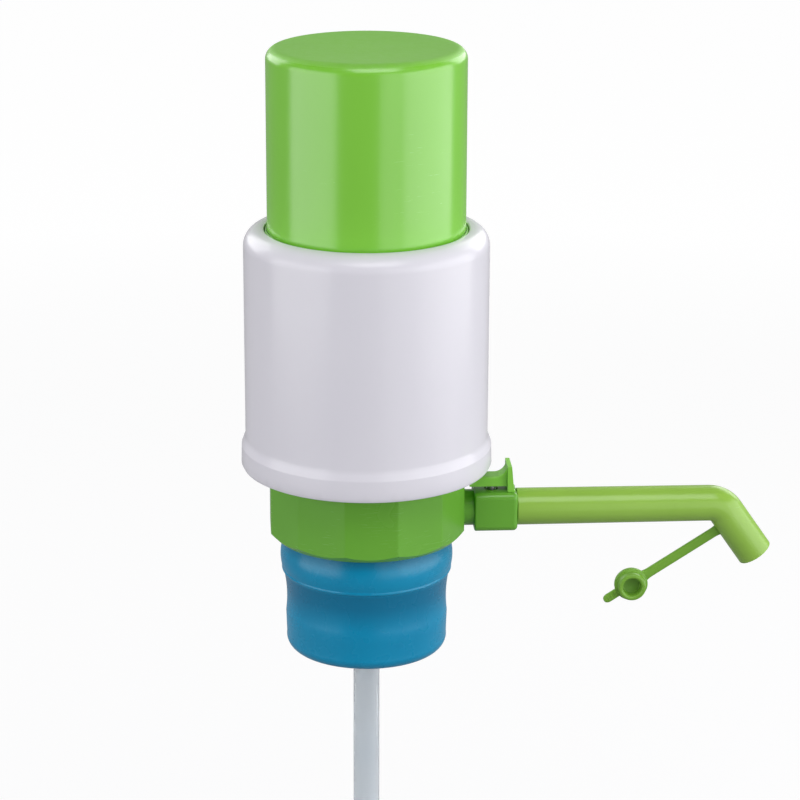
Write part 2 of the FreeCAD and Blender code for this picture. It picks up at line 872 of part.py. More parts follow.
def dip_tubes():
    return [
        pipe_length(f"tube_{name}", f"tube_top - {index} * {TUBE_STEP}", "tube_length")
        for index, name in enumerate(TUBE_NAMES)
    ]


def tube_connectors():
    """Two sleeves that join the dip tube's lengths end to end against a rib inside."""
    sleeves = []
    for joint in (1, 2):
        middle = f"tube_top - {joint} * {TUBE_STEP} + joint_rib / 2"
        sleeves.append(turned(f"connector_{joint}", [
            ("tube_radius + press_gap", f"{middle} - connector_length / 2"),
            ("connector_radius - connector_chamfer", f"{middle} - connector_length / 2"),
            ("connector_radius", f"{middle} - connector_length / 2 + connector_chamfer"),
            ("connector_radius", f"{middle} + connector_length / 2 - connector_chamfer"),
            ("connector_radius - connector_chamfer", f"{middle} + connector_length / 2"),
            ("tube_radius + press_gap", f"{middle} + connector_length / 2"),
            ("tube_radius + press_gap", f"{middle} + joint_rib / 2"),
            ("tube_bore", f"{middle} + joint_rib / 2"),
            ("tube_bore", f"{middle} - joint_rib / 2"),
            ("tube_radius + press_gap", f"{middle} - joint_rib / 2"),
        ]))
    return group("connector_pair", sleeves)


def tube_foot():
    """Slotted foot that keeps the tube's open end off the floor of the jug."""
    tube_end = f"tube_top - 2 * {TUBE_STEP} - tube_length"
    low = f"{tube_end} - foot_length / 2"
    floor = f"{low} + foot_floor"
    cup = turned("foot_cup", [
        ("tube_radius + press_gap", f"{tube_end} + foot_length / 2"),
        ("tube_radius + press_gap", tube_end),
        ("tube_bore", tube_end),
        ("tube_bore", floor),
        ("0", floor),
        ("0", low),
        ("connector_radius - connector_chamfer", low),
        ("connector_radius", f"{low} + connector_chamfer"),
        ("connector_radius", f"{tube_end} + foot_length / 2"),
    ])
    across = "2 * (connector_radius + overrun)"
    slot_height = "foot_length / 2 - foot_floor - foot_bridge"
    slots = [
        box("foot_slot_x", (across, "foot_slot", slot_height),
            ("-connector_radius - overrun", "-foot_slot / 2", floor)),
        box("foot_slot_y", ("foot_slot", across, slot_height),
            ("-foot_slot / 2", "-connector_radius - overrun", floor)),
    ]
    return cut("foot_slotted", cup, slots)


# ---------------------------------------------------------------- spout

def spout_socket():
    """Square socket that carries the spout, the lever's pivot and the valve that the lever opens.

    Two pockets in its top take the lever's feet, and the pin's hole is open at the back only."""
    body = padded("socket_block", "XZ_Plane", [
        ("socket_start", "spout_axis - socket_height / 2"),
        ("socket_end", "spout_axis - socket_height / 2"),
        ("socket_end", "spout_axis + socket_height / 2"),
        ("socket_start", "spout_axis + socket_height / 2"),
    ], "socket_width")
    rounded(body, "socket_round", lambda edge: abs(edge.tangentAt(edge.FirstParameter).x) > 0.99)
    rounded(body, "socket_end_round", lambda edge: abs(edge.CenterOfMass.x - value("socket_end")) < TINY)
    rounded(body, "socket_root_round", lambda edge: abs(edge.CenterOfMass.x - value("socket_start")) < TINY)
    bore = turned_on_x("socket_bore_shape", [
        ("socket_start - overrun", "0"),
        ("socket_end + overrun", "0"),
        ("socket_end + overrun", "socket_bore"),
        ("socket_end - snap_place + snap_ramp", "socket_bore"),
        ("socket_end - snap_place", "socket_bore + snap_depth"),
        ("socket_end - snap_place - snap_width", "socket_bore + snap_depth"),
        ("socket_end - snap_place - snap_width - snap_ramp", "socket_bore"),
        ("socket_start - overrun", "socket_bore"),
    ])
    block_top = "socket_height / 2"
    tools = [
        bore,
        cylinder("valve_chamber", "valve_pocket", "valve_seat", ("stem_place", "0", "spout_axis")),
        cylinder("stem_hole", "stem_radius + loose_gap", block_top,
                 ("stem_place", "0", above_axis("overrun"))),
        cylinder("stem_spring_seat", "washer_radius", "seat_sunk + overrun",
                 ("stem_place", "0", above_axis(f"{block_top} - seat_sunk"))),
        cylinder("pin_hole", "pin_radius", "pin_blind + socket_width",
                 ("pivot_place", "-pin_blind", above_axis("pivot_height")), "y"),
    ]
    for side, start in (("front", "-foot_outer - loose_gap"), ("back", "foot_inner - loose_gap")):
        tools.append(box(f"foot_pocket_{side}",
                         ("2 * (foot_radius + foot_gap)", "foot_outer - foot_inner + 2 * loose_gap",
                          "socket_height"),
                         ("pivot_place - foot_radius - foot_gap", start,
                          above_axis("pivot_height - foot_radius - foot_gap"))))
    return cut("socket_drilled", body, tools)


def spout_frame(along, aside):
    """A place on the spout's sloping leg, from the corner of its axis, as texts for X and Z.

    along runs down the leg, and aside runs out of its lower side towards the pump."""
    across = f"corner_place + ({along}) * cos(bend_angle * 1 deg) - ({aside}) * sin(bend_angle * 1 deg)"
    up = f"spout_axis - ({along}) * sin(bend_angle * 1 deg) - ({aside}) * cos(bend_angle * 1 deg)"
    return across, up


BEND_START = "corner_place - bend_radius * tan(bend_angle / 2 * 1 deg)"


def bent_rod(name, radius, start, over):
    """A round rod along the spout's axis from a place on X, round the bend and down the leg.

    It ends a distance over past the leg's mouth."""
    angle = math.radians(value("bend_angle"))
    bend = value("bend_radius")
    corner = Vector(value("corner_place"), 0, value("spout_axis"))
    begin = Vector(value(start), 0, corner.z)
    entry = Vector(value(BEND_START), 0, corner.z)
    middle = entry + Vector(bend * math.sin(angle / 2), 0, bend * (math.cos(angle / 2) - 1))
    down = Vector(math.cos(angle), 0, -math.sin(angle))
    leave = corner + down * (corner.x - entry.x)
    end = corner + down * (value("leg_length") + over)
    route = Part.Wire([
        Part.LineSegment(begin, entry).toShape(),
        Part.Arc(entry, middle, leave).toShape(),
        Part.LineSegment(leave, end).toShape(),
    ])
    line = doc.addObject("Part::Feature", name + "_line")
    line.Shape = route
    section = doc.addObject("Part::Circle", name + "_section")
    bind(section, "Radius", radius)
    section.Placement = Placement(begin, TURN["x"])
    sweep = doc.addObject("Part::Sweep", name)
    sweep.Sections = [section]
    sweep.Spine = (line, [f"Edge{i}" for i in range(1, len(route.Edges) + 1)])
    sweep.Solid = True
    return sweep


def strap_placed(item, outward, height="0"):
    """Puts an object that is drawn lying along -X on the strap's line.

    Its origin comes a distance outward from the leg, and half of height below the line."""
    item.Placement = Placement(Vector(), Rotation(Vector(0, 1, 0), -value("strap_angle")))
    across, up = spout_frame("strap_root", "leg_radius")
    run = "cos(strap_angle * 1 deg)"
    fall = "sin(strap_angle * 1 deg)"
    bind(item, "Placement.Base.x", f"{across} - ({outward}) * {run} + ({height}) / 2 * {fall}")
    bind(item, "Placement.Base.z", f"{up} - ({outward}) * {fall} - ({height}) / 2 * {run}")
    return item


def strap_block(name, sizes, outward):
    """A block centred on the strap's line, whose far end is a distance outward from the leg."""
    _, width, height = sizes
    block = strap_placed(box(name, sizes, ("0", "0", "0")), outward, height)
    bind(block, "Placement.Base.y", f"-({width}) / 2")
    return block


def spout_tube():
    """Spout: a spigot that turns in the socket, a slightly tapered tube and a bend down to the mouth."""
    bead_start = "socket_end - snap_place - 1.5 * snap_ramp"
    bead_end = "socket_end - snap_place - snap_width + 0.5 * snap_ramp"
    taper = turned_on_x("spout_taper", [
        ("spout_start", "0"),
        (BEND_START, "0"),
        (BEND_START, "leg_radius"),
        ("socket_end + spout_gap", "spout_radius"),
        ("socket_end + spout_gap", "fine_spigot"),
        (f"{bead_start} + snap_ramp", "fine_spigot"),
        (bead_start, "fine_spigot + snap_height"),
        (f"{bead_end} + snap_ramp", "fine_spigot + snap_height"),
        (bead_end, "fine_spigot"),
        ("spout_start + 2 * swivel_groove", "fine_spigot"),
        ("spout_start + 2 * swivel_groove", "fine_spigot - swivel_depth"),
        ("spout_start + swivel_groove", "fine_spigot - swivel_depth"),
        ("spout_start + swivel_groove", "fine_spigot"),
        ("spout_start", "fine_spigot"),
    ])
    leg = bent_rod("spout_leg", "leg_radius", f"{BEND_START} - overrun", 0)
    solid = joined("spout_solid", [taper, leg])
    slot = strap_block("strap_slot", ("strap_seat + press_gap + overrun", "strap_thick + snug_gap",
                                      "strap_width + snug_gap"), "overrun")
    throat = "channel_radius - snug_gap"
    water = turned_on_x("spout_water", [
        ("spout_start - overrun", "0"),
        (BEND_START, "0"),
        (BEND_START, "spout_bore"),
        ("socket_end + overrun + throat_length", "spout_bore"),
        ("socket_end + overrun", throat),
        ("spout_start - overrun", throat),
    ])
    leg_bore = bent_rod("spout_leg_bore", "spout_bore", f"{BEND_START} - overrun", value("overrun"))
    return cut("spout_hollow", solid, [water, leg_bore, slot])


def release_lever():
    """Thumb lever: a narrow arm that rises in a hollow curve to a wide fin, over two feet at the pivot."""
    hollow = "(fin_height - lever_high)"
    arm = padded("lever_arm", "XZ_Plane", [
        ("lever_start", above_axis("lever_low")),
        ("lever_start", above_axis("lever_high - lever_chamfer")),
        ("lever_start + lever_chamfer", above_axis("lever_high")),
        (f"fin_place - {hollow}", above_axis("lever_high")),
        (f"fin_place - {hollow} * (1 - sin(45 deg))", above_axis(f"fin_height - {hollow} * cos(45 deg)"),
         "fin_place", above_axis("fin_height")),
        ("fin_place + fin_tip / 2", above_axis("fin_height")),
        ("fin_place + fin_tip / 2", above_axis("lever_low")),
    ], "lever_width")
    top = value(above_axis("lever_high"))
    rounded(arm, "lever_round", lambda edge: abs(edge.CenterOfMass.z - top) < TINY
            and abs(edge.CenterOfMass.y) > value("lever_width") / 3)
    fin = padded("lever_fin", "XZ_Plane", [
        ("fin_place", above_axis("fin_low")),
        ("fin_place + fin_thick", above_axis("fin_low")),
        ("fin_place + fin_tip", above_axis("fin_height")),
        ("fin_place", above_axis("fin_height")),
    ], "fin_width")
    feet = []
    for side, start in (("front", "-foot_outer"), ("back", "foot_inner")):
        width = "foot_outer - foot_inner"
        feet.append(cylinder(f"foot_round_{side}", "foot_radius", width,
                             ("pivot_place", start, above_axis("pivot_height")), "y"))
        feet.append(box(f"foot_{side}", ("2 * foot_radius", width, "fin_low - pivot_height + overrun / 2"),
                        ("pivot_place - foot_radius", start, above_axis("pivot_height"))))
    tools = [
        cylinder("lever_pin_hole", "pin_radius + press_gap", "fin_width + 2 * overrun",
                 ("pivot_place", "-fin_width / 2 - overrun", above_axis("pivot_height")), "y"),
        cylinder("lever_pocket", "button_radius + button_room", "button_top - lever_low + overrun",
                 ("stem_place", "0", above_axis("lever_low - overrun"))),
    ]
    return cut("lever_drilled", joined("lever_whole", [arm, fin, *feet]), tools)


def lever_pin():
    return cylinder("pin_rod", "pin_radius", "pin_blind + socket_width / 2 - pin_sunk",
                    ("pivot_place", "-pin_blind", above_axis("pivot_height")), "y")


def at_stem(body):
    bind(body, "Placement.Base.x", "stem_place")
    bind(body, "Placement.Base.z", "spout_axis")
    return body


def vent_stem():
    neck = "valve_seat - washer_thick"
    low = f"{neck} - head_thick"
    return at_stem(turned("stem_turned", [
        ("0", low),
        ("valve_head - head_chamfer", low),
        ("valve_head", f"{low} + head_chamfer"),
        ("valve_head", neck),
        ("stem_radius", neck),
        ("stem_radius", "button_top - stem_sunk"),
        ("0", "button_top - stem_sunk"),
    ]))


def vent_washer():
    return at_stem(turned("washer_turned", [
        ("stem_radius + press_gap", "valve_seat - washer_thick"),
        ("washer_radius", "valve_seat - washer_thick"),
        ("washer_radius", "valve_seat"),
        ("stem_radius + press_gap", "valve_seat"),
    ]))


def vent_button():
    """Button pressed on the stem: the spring lifts it, and the lever bears on its crown."""
    return at_stem(turned("button_turned", [
        ("stem_radius", "lever_low"),
        ("button_radius", "lever_low"),
        ("button_radius", "button_top - crown_height"),
        ("button_crown", "button_top"),
        ("0", "button_top"),
        ("0", "button_top - stem_sunk"),
        ("stem_radius", "button_top - stem_sunk"),
    ]))


def vent_spring():
    spring = coil("vent_winding", "vent_coil", "vent_wire", "vent_turns",
                  above_axis("socket_height / 2 - seat_sunk"), above_axis("lever_low"))
    bind(spring, "Placement.Base.x", "stem_place")
    return spring


def strap_root():
    """The end of the strap that is let into the wall of the spout's leg."""
    outward = "strap_hinge - strap_thick / 2 - strap_gap"
    return strap_block("strap_root_block", (f"{outward} + strap_seat", "strap_thick", "strap_width"), outward)


def dust_plug():
    """Strap, flange, hollow plug and pull tab in one soft moulding, drawn lying along -X."""
    reach = "strap_reach - strap_hinge"
    face = "-flange_width / 2"
    tab_length = "tab_reach - tab_width / 2"
    strap = box("strap_band", (reach, "strap_thick", "strap_width"),
                (f"-({reach})", "-strap_thick / 2", "-strap_width / 2"))
    heel = cylinder("strap_heel", "strap_thick / 2", "strap_width", ("0", "0", "-strap_width / 2"))
    flange = cylinder("plug_flange_disc", "plug_flange", "flange_width", (f"-({reach})", face, "0"), "y")
    barrel = cylinder("plug_barrel", "plug_radius", "plug_length",
                      (f"-({reach})", f"{face} - plug_length", "0"), "y")
    tab = box("pull_tab", (tab_length, "strap_thick", "tab_width"),
              (f"-({reach}) - ({tab_length})", "-strap_thick / 2", "-tab_width / 2"))
    tip = cylinder("pull_tab_end", "tab_width / 2", "strap_thick",
                   (f"-({reach}) - ({tab_length})", "-strap_thick / 2", "0"), "y")
    hole = cylinder("plug_hollow", "plug_hole", "plug_length",
                    (f"-({reach})", f"{face} - plug_floor - plug_length", "0"), "y")
    solid = joined("plug_solid", [strap, heel, flange, barrel, tab, tip])
    return strap_placed(cut("plug_moulding", solid, [hole]), "strap_hinge")


# ---------------------------------------------------------------- all pieces

node(outer_housing(), "outer_housing")
node(base(), "base")
node(neck_sleeve(), "neck_sleeve")
node(neck_gasket(), "neck_gasket")
node(umbrella_valve("air_valve", "deck_bottom", "deck_thick", "umbrella_radius"), "air_check_valve")
node(bellows_clamp(), "bellows_clamp_ring")
node(base_screws(), "base_screws")
node(bellows(), "bellows")
node(return_spring(), "return_spring")
node(press_cap(), "press_cap")
node(cap_guide_ring(), "cap_guide_ring")
node(bellows_plate(), "bellows_plate")
node(umbrella_valve("inlet_valve", PLATE_UNDER, "plate_thick", "inlet_umbrella"), "air_intake_valve")
node(cap_screws(), "cap_screws")
for name, tube in zip(TUBE_NAMES, dip_tubes()):
    node(tube, f"dip_tube_{name}")
node(tube_connectors(), "tube_connectors")
node(tube_foot(), "tube_foot")
node(torus("riser_ring", "tube_radius + ring_section + press_gap", "ring_section",
           ("0", "0", "riser_bottom + groove_level + groove_width / 2")), "riser_o_ring")
node(spout_socket(), "spout_socket")
node(spout_tube(), "spout_tube")
node(torus("swivel_ring", "socket_bore - press_gap - swivel_section", "swivel_section",
           ("spout_start + 1.5 * swivel_groove", "0", "spout_axis"), "x"), "spout_o_ring")
node(release_lever(), "release_lever")
node(lever_pin(), "lever_pin")
node(vent_stem(), "vent_stem")
node(vent_washer(), "vent_washer")
node(vent_button(), "vent_button")
node(vent_spring(), "vent_spring")
node(strap_root(), "strap_root")
node(dust_plug(), "dust_plug")

doc.recompute()
for item in doc.Objects:
    if "Invalid" in item.State or "Error" in item.State:
        raise RuntimeError(f"{item.Name} ({item.Label}) failed: {item.State}")
os.makedirs("parts", exist_ok=True)
for item in nodes:
    shape = item.Shape
    if shape.isNull() or not shape.isValid():
        raise RuntimeError(item.Label + " has no valid shape")
    shape.exportStep(f"parts/{item.Label}.step")
    box_size = shape.BoundBox
    print(f"{item.Label:20} solids {len(shape.Solids)} volume {shape.Volume:10.1f} "
          f"z {box_size.ZMin:7.1f} {box_size.ZMax:7.1f}")
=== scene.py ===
import bmesh
import bpy
import json
import math
from mathutils import Matrix, Vector


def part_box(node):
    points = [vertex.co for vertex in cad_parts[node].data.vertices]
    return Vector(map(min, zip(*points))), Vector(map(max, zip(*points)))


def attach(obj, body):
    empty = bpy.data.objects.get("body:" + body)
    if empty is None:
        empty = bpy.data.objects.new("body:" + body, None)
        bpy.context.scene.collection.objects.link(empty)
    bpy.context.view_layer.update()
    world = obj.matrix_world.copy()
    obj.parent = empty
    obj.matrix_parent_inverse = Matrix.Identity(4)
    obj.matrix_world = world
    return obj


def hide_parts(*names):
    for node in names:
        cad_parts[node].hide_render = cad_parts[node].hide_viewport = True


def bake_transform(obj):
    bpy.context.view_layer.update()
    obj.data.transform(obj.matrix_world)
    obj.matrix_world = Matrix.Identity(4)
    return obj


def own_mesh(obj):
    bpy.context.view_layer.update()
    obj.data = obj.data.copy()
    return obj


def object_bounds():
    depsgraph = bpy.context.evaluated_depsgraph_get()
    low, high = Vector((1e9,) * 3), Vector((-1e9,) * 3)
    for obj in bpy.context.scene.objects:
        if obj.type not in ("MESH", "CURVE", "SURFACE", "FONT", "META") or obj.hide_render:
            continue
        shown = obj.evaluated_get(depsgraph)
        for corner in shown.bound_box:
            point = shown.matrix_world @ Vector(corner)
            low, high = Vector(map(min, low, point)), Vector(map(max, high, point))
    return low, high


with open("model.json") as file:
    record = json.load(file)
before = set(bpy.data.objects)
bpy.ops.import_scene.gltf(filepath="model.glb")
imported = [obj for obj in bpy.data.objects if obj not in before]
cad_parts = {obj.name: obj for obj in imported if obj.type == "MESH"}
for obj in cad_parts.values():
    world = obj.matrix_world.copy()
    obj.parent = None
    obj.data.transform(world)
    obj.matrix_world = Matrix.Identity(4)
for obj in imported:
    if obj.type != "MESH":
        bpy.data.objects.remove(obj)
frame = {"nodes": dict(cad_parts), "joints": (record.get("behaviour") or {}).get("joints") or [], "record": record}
cad_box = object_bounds()

MM = 0.001
nodes = frame["nodes"]
joints = {joint["name"]: joint for joint in frame["joints"]}


def mm(*numbers):
    """A vector from lengths in millimetres."""
    return Vector([number * MM for number in numbers])


def srgb(red, green, blue):
    """A colour as it looks on a screen, from 0 to 255, in the linear values that shaders take."""
    def one(level):
        share = level / 255
        return share / 12.92 if share <= 0.04045 else ((share + 0.055) / 1.055) ** 2.4
    return (one(red), one(green), one(blue), 1.0)


# ------------------------------------------------------------------ node trees

class Finish:
    """A material, and short ways to build its nodes. Lengths are in metres on the object."""

    def __init__(self, name):
        self.material = bpy.data.materials.new(name)
        self.material.use_nodes = True
        self.tree = self.material.node_tree
        self.shader = self.tree.nodes["Principled BSDF"]
        self.place = self.node("ShaderNodeTexCoord").outputs["Object"]

    def node(self, kind, **inputs):
        """A new node. Each input is named with _ for a space."""
        made = self.tree.nodes.new(kind)
        for name, value in inputs.items():
            self.feed(made.inputs[name.replace("_", " ")], value)
        return made

    def feed(self, socket, value):
        """Links a socket to an output, or gives it a plain value."""
        if isinstance(value, bpy.types.NodeSocket):
            self.tree.links.new(value, socket)
        else:
            socket.default_value = value

    def set(self, **inputs):
        """Feeds the shader's own inputs."""
        for name, value in inputs.items():
            self.feed(self.shader.inputs[name.replace("_", " ")], value)

    def stretched(self, x, y, z):
        """The place on the object, scaled along each axis, for grain that runs one way."""
        mapping = self.node("ShaderNodeMapping", Vector=self.place)
        mapping.inputs["Scale"].default_value = (x, y, z)
        return mapping.outputs["Vector"]

    def height(self):
        """The height on the object above the rim of the jug's neck."""
        return self.node("ShaderNodeSeparateXYZ", Vector=self.place).outputs["Z"]

    def noise(self, size, detail=2.0, roughness=0.5, place=None):
        """Noise whose blobs are about size metres across."""
        made = self.node("ShaderNodeTexNoise", Vector=place or self.place, Scale=1 / size,
                         Detail=detail, Roughness=roughness)
        return made.outputs["Fac"]

    def handling_marks(self):
        """Short fine streaks round the object, in patches: 1 in the middle of a streak, and mostly 0."""
        streaks = self.noise(0.006, detail=3.0, place=self.stretched(1.0, 1.0, 14.0))
        patches = self.noise(0.022, detail=1.0)
        return self.maths("MULTIPLY", self.span(streaks, 0.0, 1.0, 0.6, 0.72),
                          self.span(patches, 0.0, 1.0, 0.5, 0.65))

    def span(self, factor, low, high, start=0.0, end=1.0):
        """Turns a factor that runs from start to end into a number from low to high."""
        made = self.node("ShaderNodeMapRange", Value=factor)
        made.inputs["From Min"].default_value = start
        made.inputs["From Max"].default_value = end
        made.inputs["To Min"].default_value = low
        made.inputs["To Max"].default_value = high
        return made.outputs["Result"]

    def mixed(self, factor, first, second):
        """The first colour where the factor is 0, the second where it is 1."""
        made = self.tree.nodes.new("ShaderNodeMix")
        made.data_type = "RGBA"
        self.feed(made.inputs["Factor"], factor)
        self.feed(made.inputs["A"], first)
        self.feed(made.inputs["B"], second)
        return made.outputs["Result"]

    def maths(self, operation, first, second):
        """The result of one Math node, such as ADD or MULTIPLY."""
        made = self.tree.nodes.new("ShaderNodeMath")
        made.operation = operation
        self.feed(made.inputs[0], first)
        self.feed(made.inputs[1], second)
        return made.outputs["Value"]

    def bump(self, height, depth, under=None):
        """Relief of a depth in metres, on top of another relief if there is one."""
        made = self.node("ShaderNodeBump", Height=height, Distance=depth)
        made.inputs["Strength"].default_value = 1.0
        if under is not None:
            self.feed(made.inputs["Normal"], under)
        return made.outputs["Normal"]


# Most of a noise's values lie between these two.
NOISE_SPREAD = (0.3, 0.7)
# Depths of relief in metres.
PEEL_DEPTH = 0.000012
GRAIN_DEPTH = 0.000002
PORE_DEPTH = 0.00001
SPARKED_DEPTH = 0.00005
# The height in metres over which the sparked grain fades in, and how much rougher it is.
SPARKED_EDGE = 0.0006
SPARKED_DULL = 0.3
# How much paler a patch is (wear on the cap's rim, and wear with a painted highlight on the sleeve's hem), and how
# much of that shows.
WEAR_AND_HIGHLIGHT = 0.2


def moulded(name, light, dark, gloss, specular=0.5, marks=0.08, worn=None, textured=None):
    """Injection-moulded plastic: slow changes of tone, flow lines, faint orange peel and fine handling marks.

    gloss is the roughness where nothing has rubbed the face, and marks is how much rougher a mark is.
    worn is a pair of heights between which edges are rubbed paler. Above the height textured, the face
    has the fine sparked grain of a mould that wasn't polished there."""
    made = Finish(name)
    tone = made.noise(0.06, detail=2.0)
    flow = made.noise(0.012, detail=2.0, place=made.stretched(1.0, 1.0, 0.2))
    share = made.maths("ADD", made.span(tone, 0.0, 0.7, *NOISE_SPREAD),
                       made.span(flow, 0.0, 0.3, *NOISE_SPREAD))
    colour = made.mixed(share, dark, light)
    dull = made.maths("ADD", made.span(made.noise(0.025, detail=2.0), 0.0, 0.04, *NOISE_SPREAD), gloss)
    dull = made.maths("ADD", dull, made.maths("MULTIPLY", made.handling_marks(), marks))
    if worn:
        colour = pale_wear_and_highlight(made, colour, light, worn)
    relief = made.bump(made.noise(0.005, detail=1.0), PEEL_DEPTH)
    relief = made.bump(made.noise(0.0004, detail=1.0), GRAIN_DEPTH, relief)
    if textured:
        sparked = made.span(made.height(), 0.0, 1.0, textured - SPARKED_EDGE, textured)
        dull = made.maths("ADD", dull, made.maths("MULTIPLY", sparked, SPARKED_DULL))
        pits = made.maths("MULTIPLY", sparked, made.noise(0.0007, detail=2.0))
        relief = made.bump(pits, SPARKED_DEPTH, relief)
    made.set(Base_Color=colour, Roughness=dull, Normal=relief)
    made.shader.inputs["Specular IOR Level"].default_value = specular
    return made.material


def pale_wear_and_highlight(made, colour, light, heights):
    """The colour with pale patches, from none at the first height to most at the second: wear on the cap's rim,
    and on the sleeve's hem wear together with a painted highlight.
    """
    start, end = heights
    pale_share = made.maths("MULTIPLY", made.span(made.height(), 0.0, 1.0, start, end),
                        made.span(made.noise(0.003, detail=5.0, roughness=0.7), 0.0, 1.0, 0.4, 0.75))
    pale = tuple((1 - WEAR_AND_HIGHLIGHT) * channel + WEAR_AND_HIGHLIGHT for channel in light[:3]) + (1.0,)
    return made.mixed(made.maths("MULTIPLY", pale_share, WEAR_AND_HIGHLIGHT), colour, pale)


# Heights on the sleeve in metres above the jug's rim: the foot of its bulge, the narrow waist below it, and the
# bulge's top under the base. Between them the colour is darkened as painted shade. The pale band on its hem, which
# is wear with a painted highlight, is measured from its lower edge.
BULGE_FOOT = (0.002, 0.0035)
WAIST = (-0.012, -0.003)
BULGE_TOP = (0.0125, 0.0165)
HEM_WEAR_AND_HIGHLIGHT = (0.0024, 0.0004)


def soft_sleeve(name, light, dark, shade_colour):
    """Soft plastic with painted shade: darker at the waist under its bulge and at its top under the base. Its
    lower hem is paler, as wear with a painted highlight.
    """
    low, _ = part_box("neck_sleeve")
    made = Finish(name)
    height = made.height()
    tone = made.noise(0.03, detail=3.0)
    colour = made.mixed(made.span(tone, 0.0, 1.0, *NOISE_SPREAD), dark, light)
    # Painted shade: the colour darkens at the waist below the bulge, and at the top where the base casts its
    # shadow.
    waist_shade = made.maths("MULTIPLY", made.span(height, 1.0, 0.0, *BULGE_FOOT),
                             made.span(height, 0.0, 1.0, *WAIST))
    base_shadow = made.span(height, 0.0, 1.0, *BULGE_TOP)
    # This mask marks where shade is painted, not where the plastic is thick.
    thick = made.maths("MAXIMUM", waist_shade, base_shadow)
    colour = made.mixed(made.maths("MULTIPLY", thick, 0.7), colour, shade_colour)
    # The pale hem is partly wear and partly a painted highlight on the rounded lower edge.
    colour = pale_wear_and_highlight(made, colour, light, [low.z + above for above in HEM_WEAR_AND_HIGHLIGHT])
    dull = made.span(made.noise(0.012, detail=3.0), 0.24, 0.3, *NOISE_SPREAD)
    dull = made.maths("ADD", dull, made.maths("MULTIPLY", made.handling_marks(), 0.06))
    relief = made.bump(made.noise(0.008, detail=1.0), PEEL_DEPTH)
    relief = made.bump(made.noise(0.0005, detail=1.0), GRAIN_DEPTH / 2, relief)
    made.set(Base_Color=colour, Roughness=dull, Normal=relief)
    made.shader.inputs["Specular IOR Level"].default_value = 0.37
    return made.material


def rubber(name, light, dark, roughness):
    """Soft moulded rubber: matt, with fine pores and paler dust in patches."""
    made = Finish(name)
    tone = made.noise(0.02, detail=4.0, roughness=0.6)
    pores = made.noise(0.0005, detail=2.0)
    dull = made.span(made.noise(0.006, detail=4.0), roughness - 0.06, roughness + 0.08, *NOISE_SPREAD)
    relief = made.bump(made.noise(0.004, detail=2.0), PORE_DEPTH * 3)
    relief = made.bump(pores, PORE_DEPTH, relief)
    made.set(Base_Color=made.mixed(made.span(tone, 0.0, 1.0, *NOISE_SPREAD), dark, light), Roughness=dull,
             Normal=relief)
    return made.material


def clear_tubing(name):
    """Milky tube that lets light through, with faint draw lines along it."""
    made = Finish(name)
    lines = made.noise(0.0012, detail=2.0, place=made.stretched(1.0, 1.0, 0.02))
    haze = made.noise(0.03, detail=3.0)
    made.set(Base_Color=made.mixed(haze, srgb(226, 233, 239), srgb(242, 245, 248)),
             Roughness=made.span(lines, 0.18, 0.28, *NOISE_SPREAD), Normal=made.bump(lines, 0.000004))
    made.shader.inputs["Transmission Weight"].default_value = 0.55
    made.shader.inputs["IOR"].default_value = 1.4
    return made.material


def drawn_steel(name):
    """Bright wire with fine scratches along and across it."""
    made = Finish(name)
    scratches = made.noise(0.0006, detail=3.0, place=made.stretched(1.0, 1.0, 6.0))
    tone = made.noise(0.004, detail=3.0)
    made.set(Base_Color=made.mixed(tone, srgb(176, 178, 182), srgb(206, 207, 208)),
             Roughness=made.span(scratches, 0.18, 0.42, *NOISE_SPREAD), Normal=made.bump(scratches, 0.000006))
    made.shader.inputs["Metallic"].default_value = 1.0
    return made.material


CAP_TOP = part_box("press_cap")[1].z

FINISHES = {
    "green_shell": moulded("green_plastic", srgb(135, 212, 68), srgb(129, 205, 62), 0.2, specular=0.8,
                           worn=(CAP_TOP - 0.004, CAP_TOP - 0.001), textured=CAP_TOP - 0.0008),
    # Painted shade: the base and the spout's block are a darker copy of the cap's green, for the shade under the
    # housing.
    "base_green_painted_darker": moulded("base_plastic_painted_darker", srgb(112, 182, 58), srgb(106, 175, 53), 0.24),
    # Painted light: the lever is a lighter copy of the cap's green, brightened where it lies in shade.
    "lever_green_painted_lighter": moulded("lever_plastic_painted_lighter", srgb(146, 222, 82), srgb(139, 215, 75), 0.22),
    "green_spout": moulded("green_spout_plastic", srgb(158, 203, 84), srgb(149, 195, 76), 0.22),
    "green_soft": moulded("green_soft_plastic", srgb(128, 182, 62), srgb(112, 166, 48), 0.34),
    "white_shell": moulded("white_plastic", srgb(235, 233, 242), srgb(231, 229, 239), 0.2, marks=0.04),
    "white_inner": moulded("white_inner_plastic", srgb(228, 228, 222), srgb(216, 216, 210), 0.42),
    # The sleeve's third colour is its painted shade.
    "blue_sleeve": soft_sleeve("blue_soft_plastic", srgb(12, 150, 195), srgb(4, 140, 185), srgb(3, 105, 146)),
    "dark_rubber": rubber("dark_rubber", srgb(62, 62, 64), srgb(44, 44, 46), 0.62),
    "clear_tube": clear_tubing("clear_tubing"),
    "tube_fitting": moulded("tube_fitting_plastic", srgb(226, 230, 232), srgb(212, 217, 220), 0.34),
    "steel": drawn_steel("drawn_steel"),
}
# Nodes that differ from the finish of their slot: the base and the spout's block darker as painted shade, the
# lever lighter as painted light.
OWN_FINISH = {
    "base": "base_green_painted_darker", "spout_socket": "base_green_painted_darker", "spout_tube": "green_spout",
    "release_lever": "lever_green_painted_lighter",
}


# ------------------------------------------------------------------ meshes

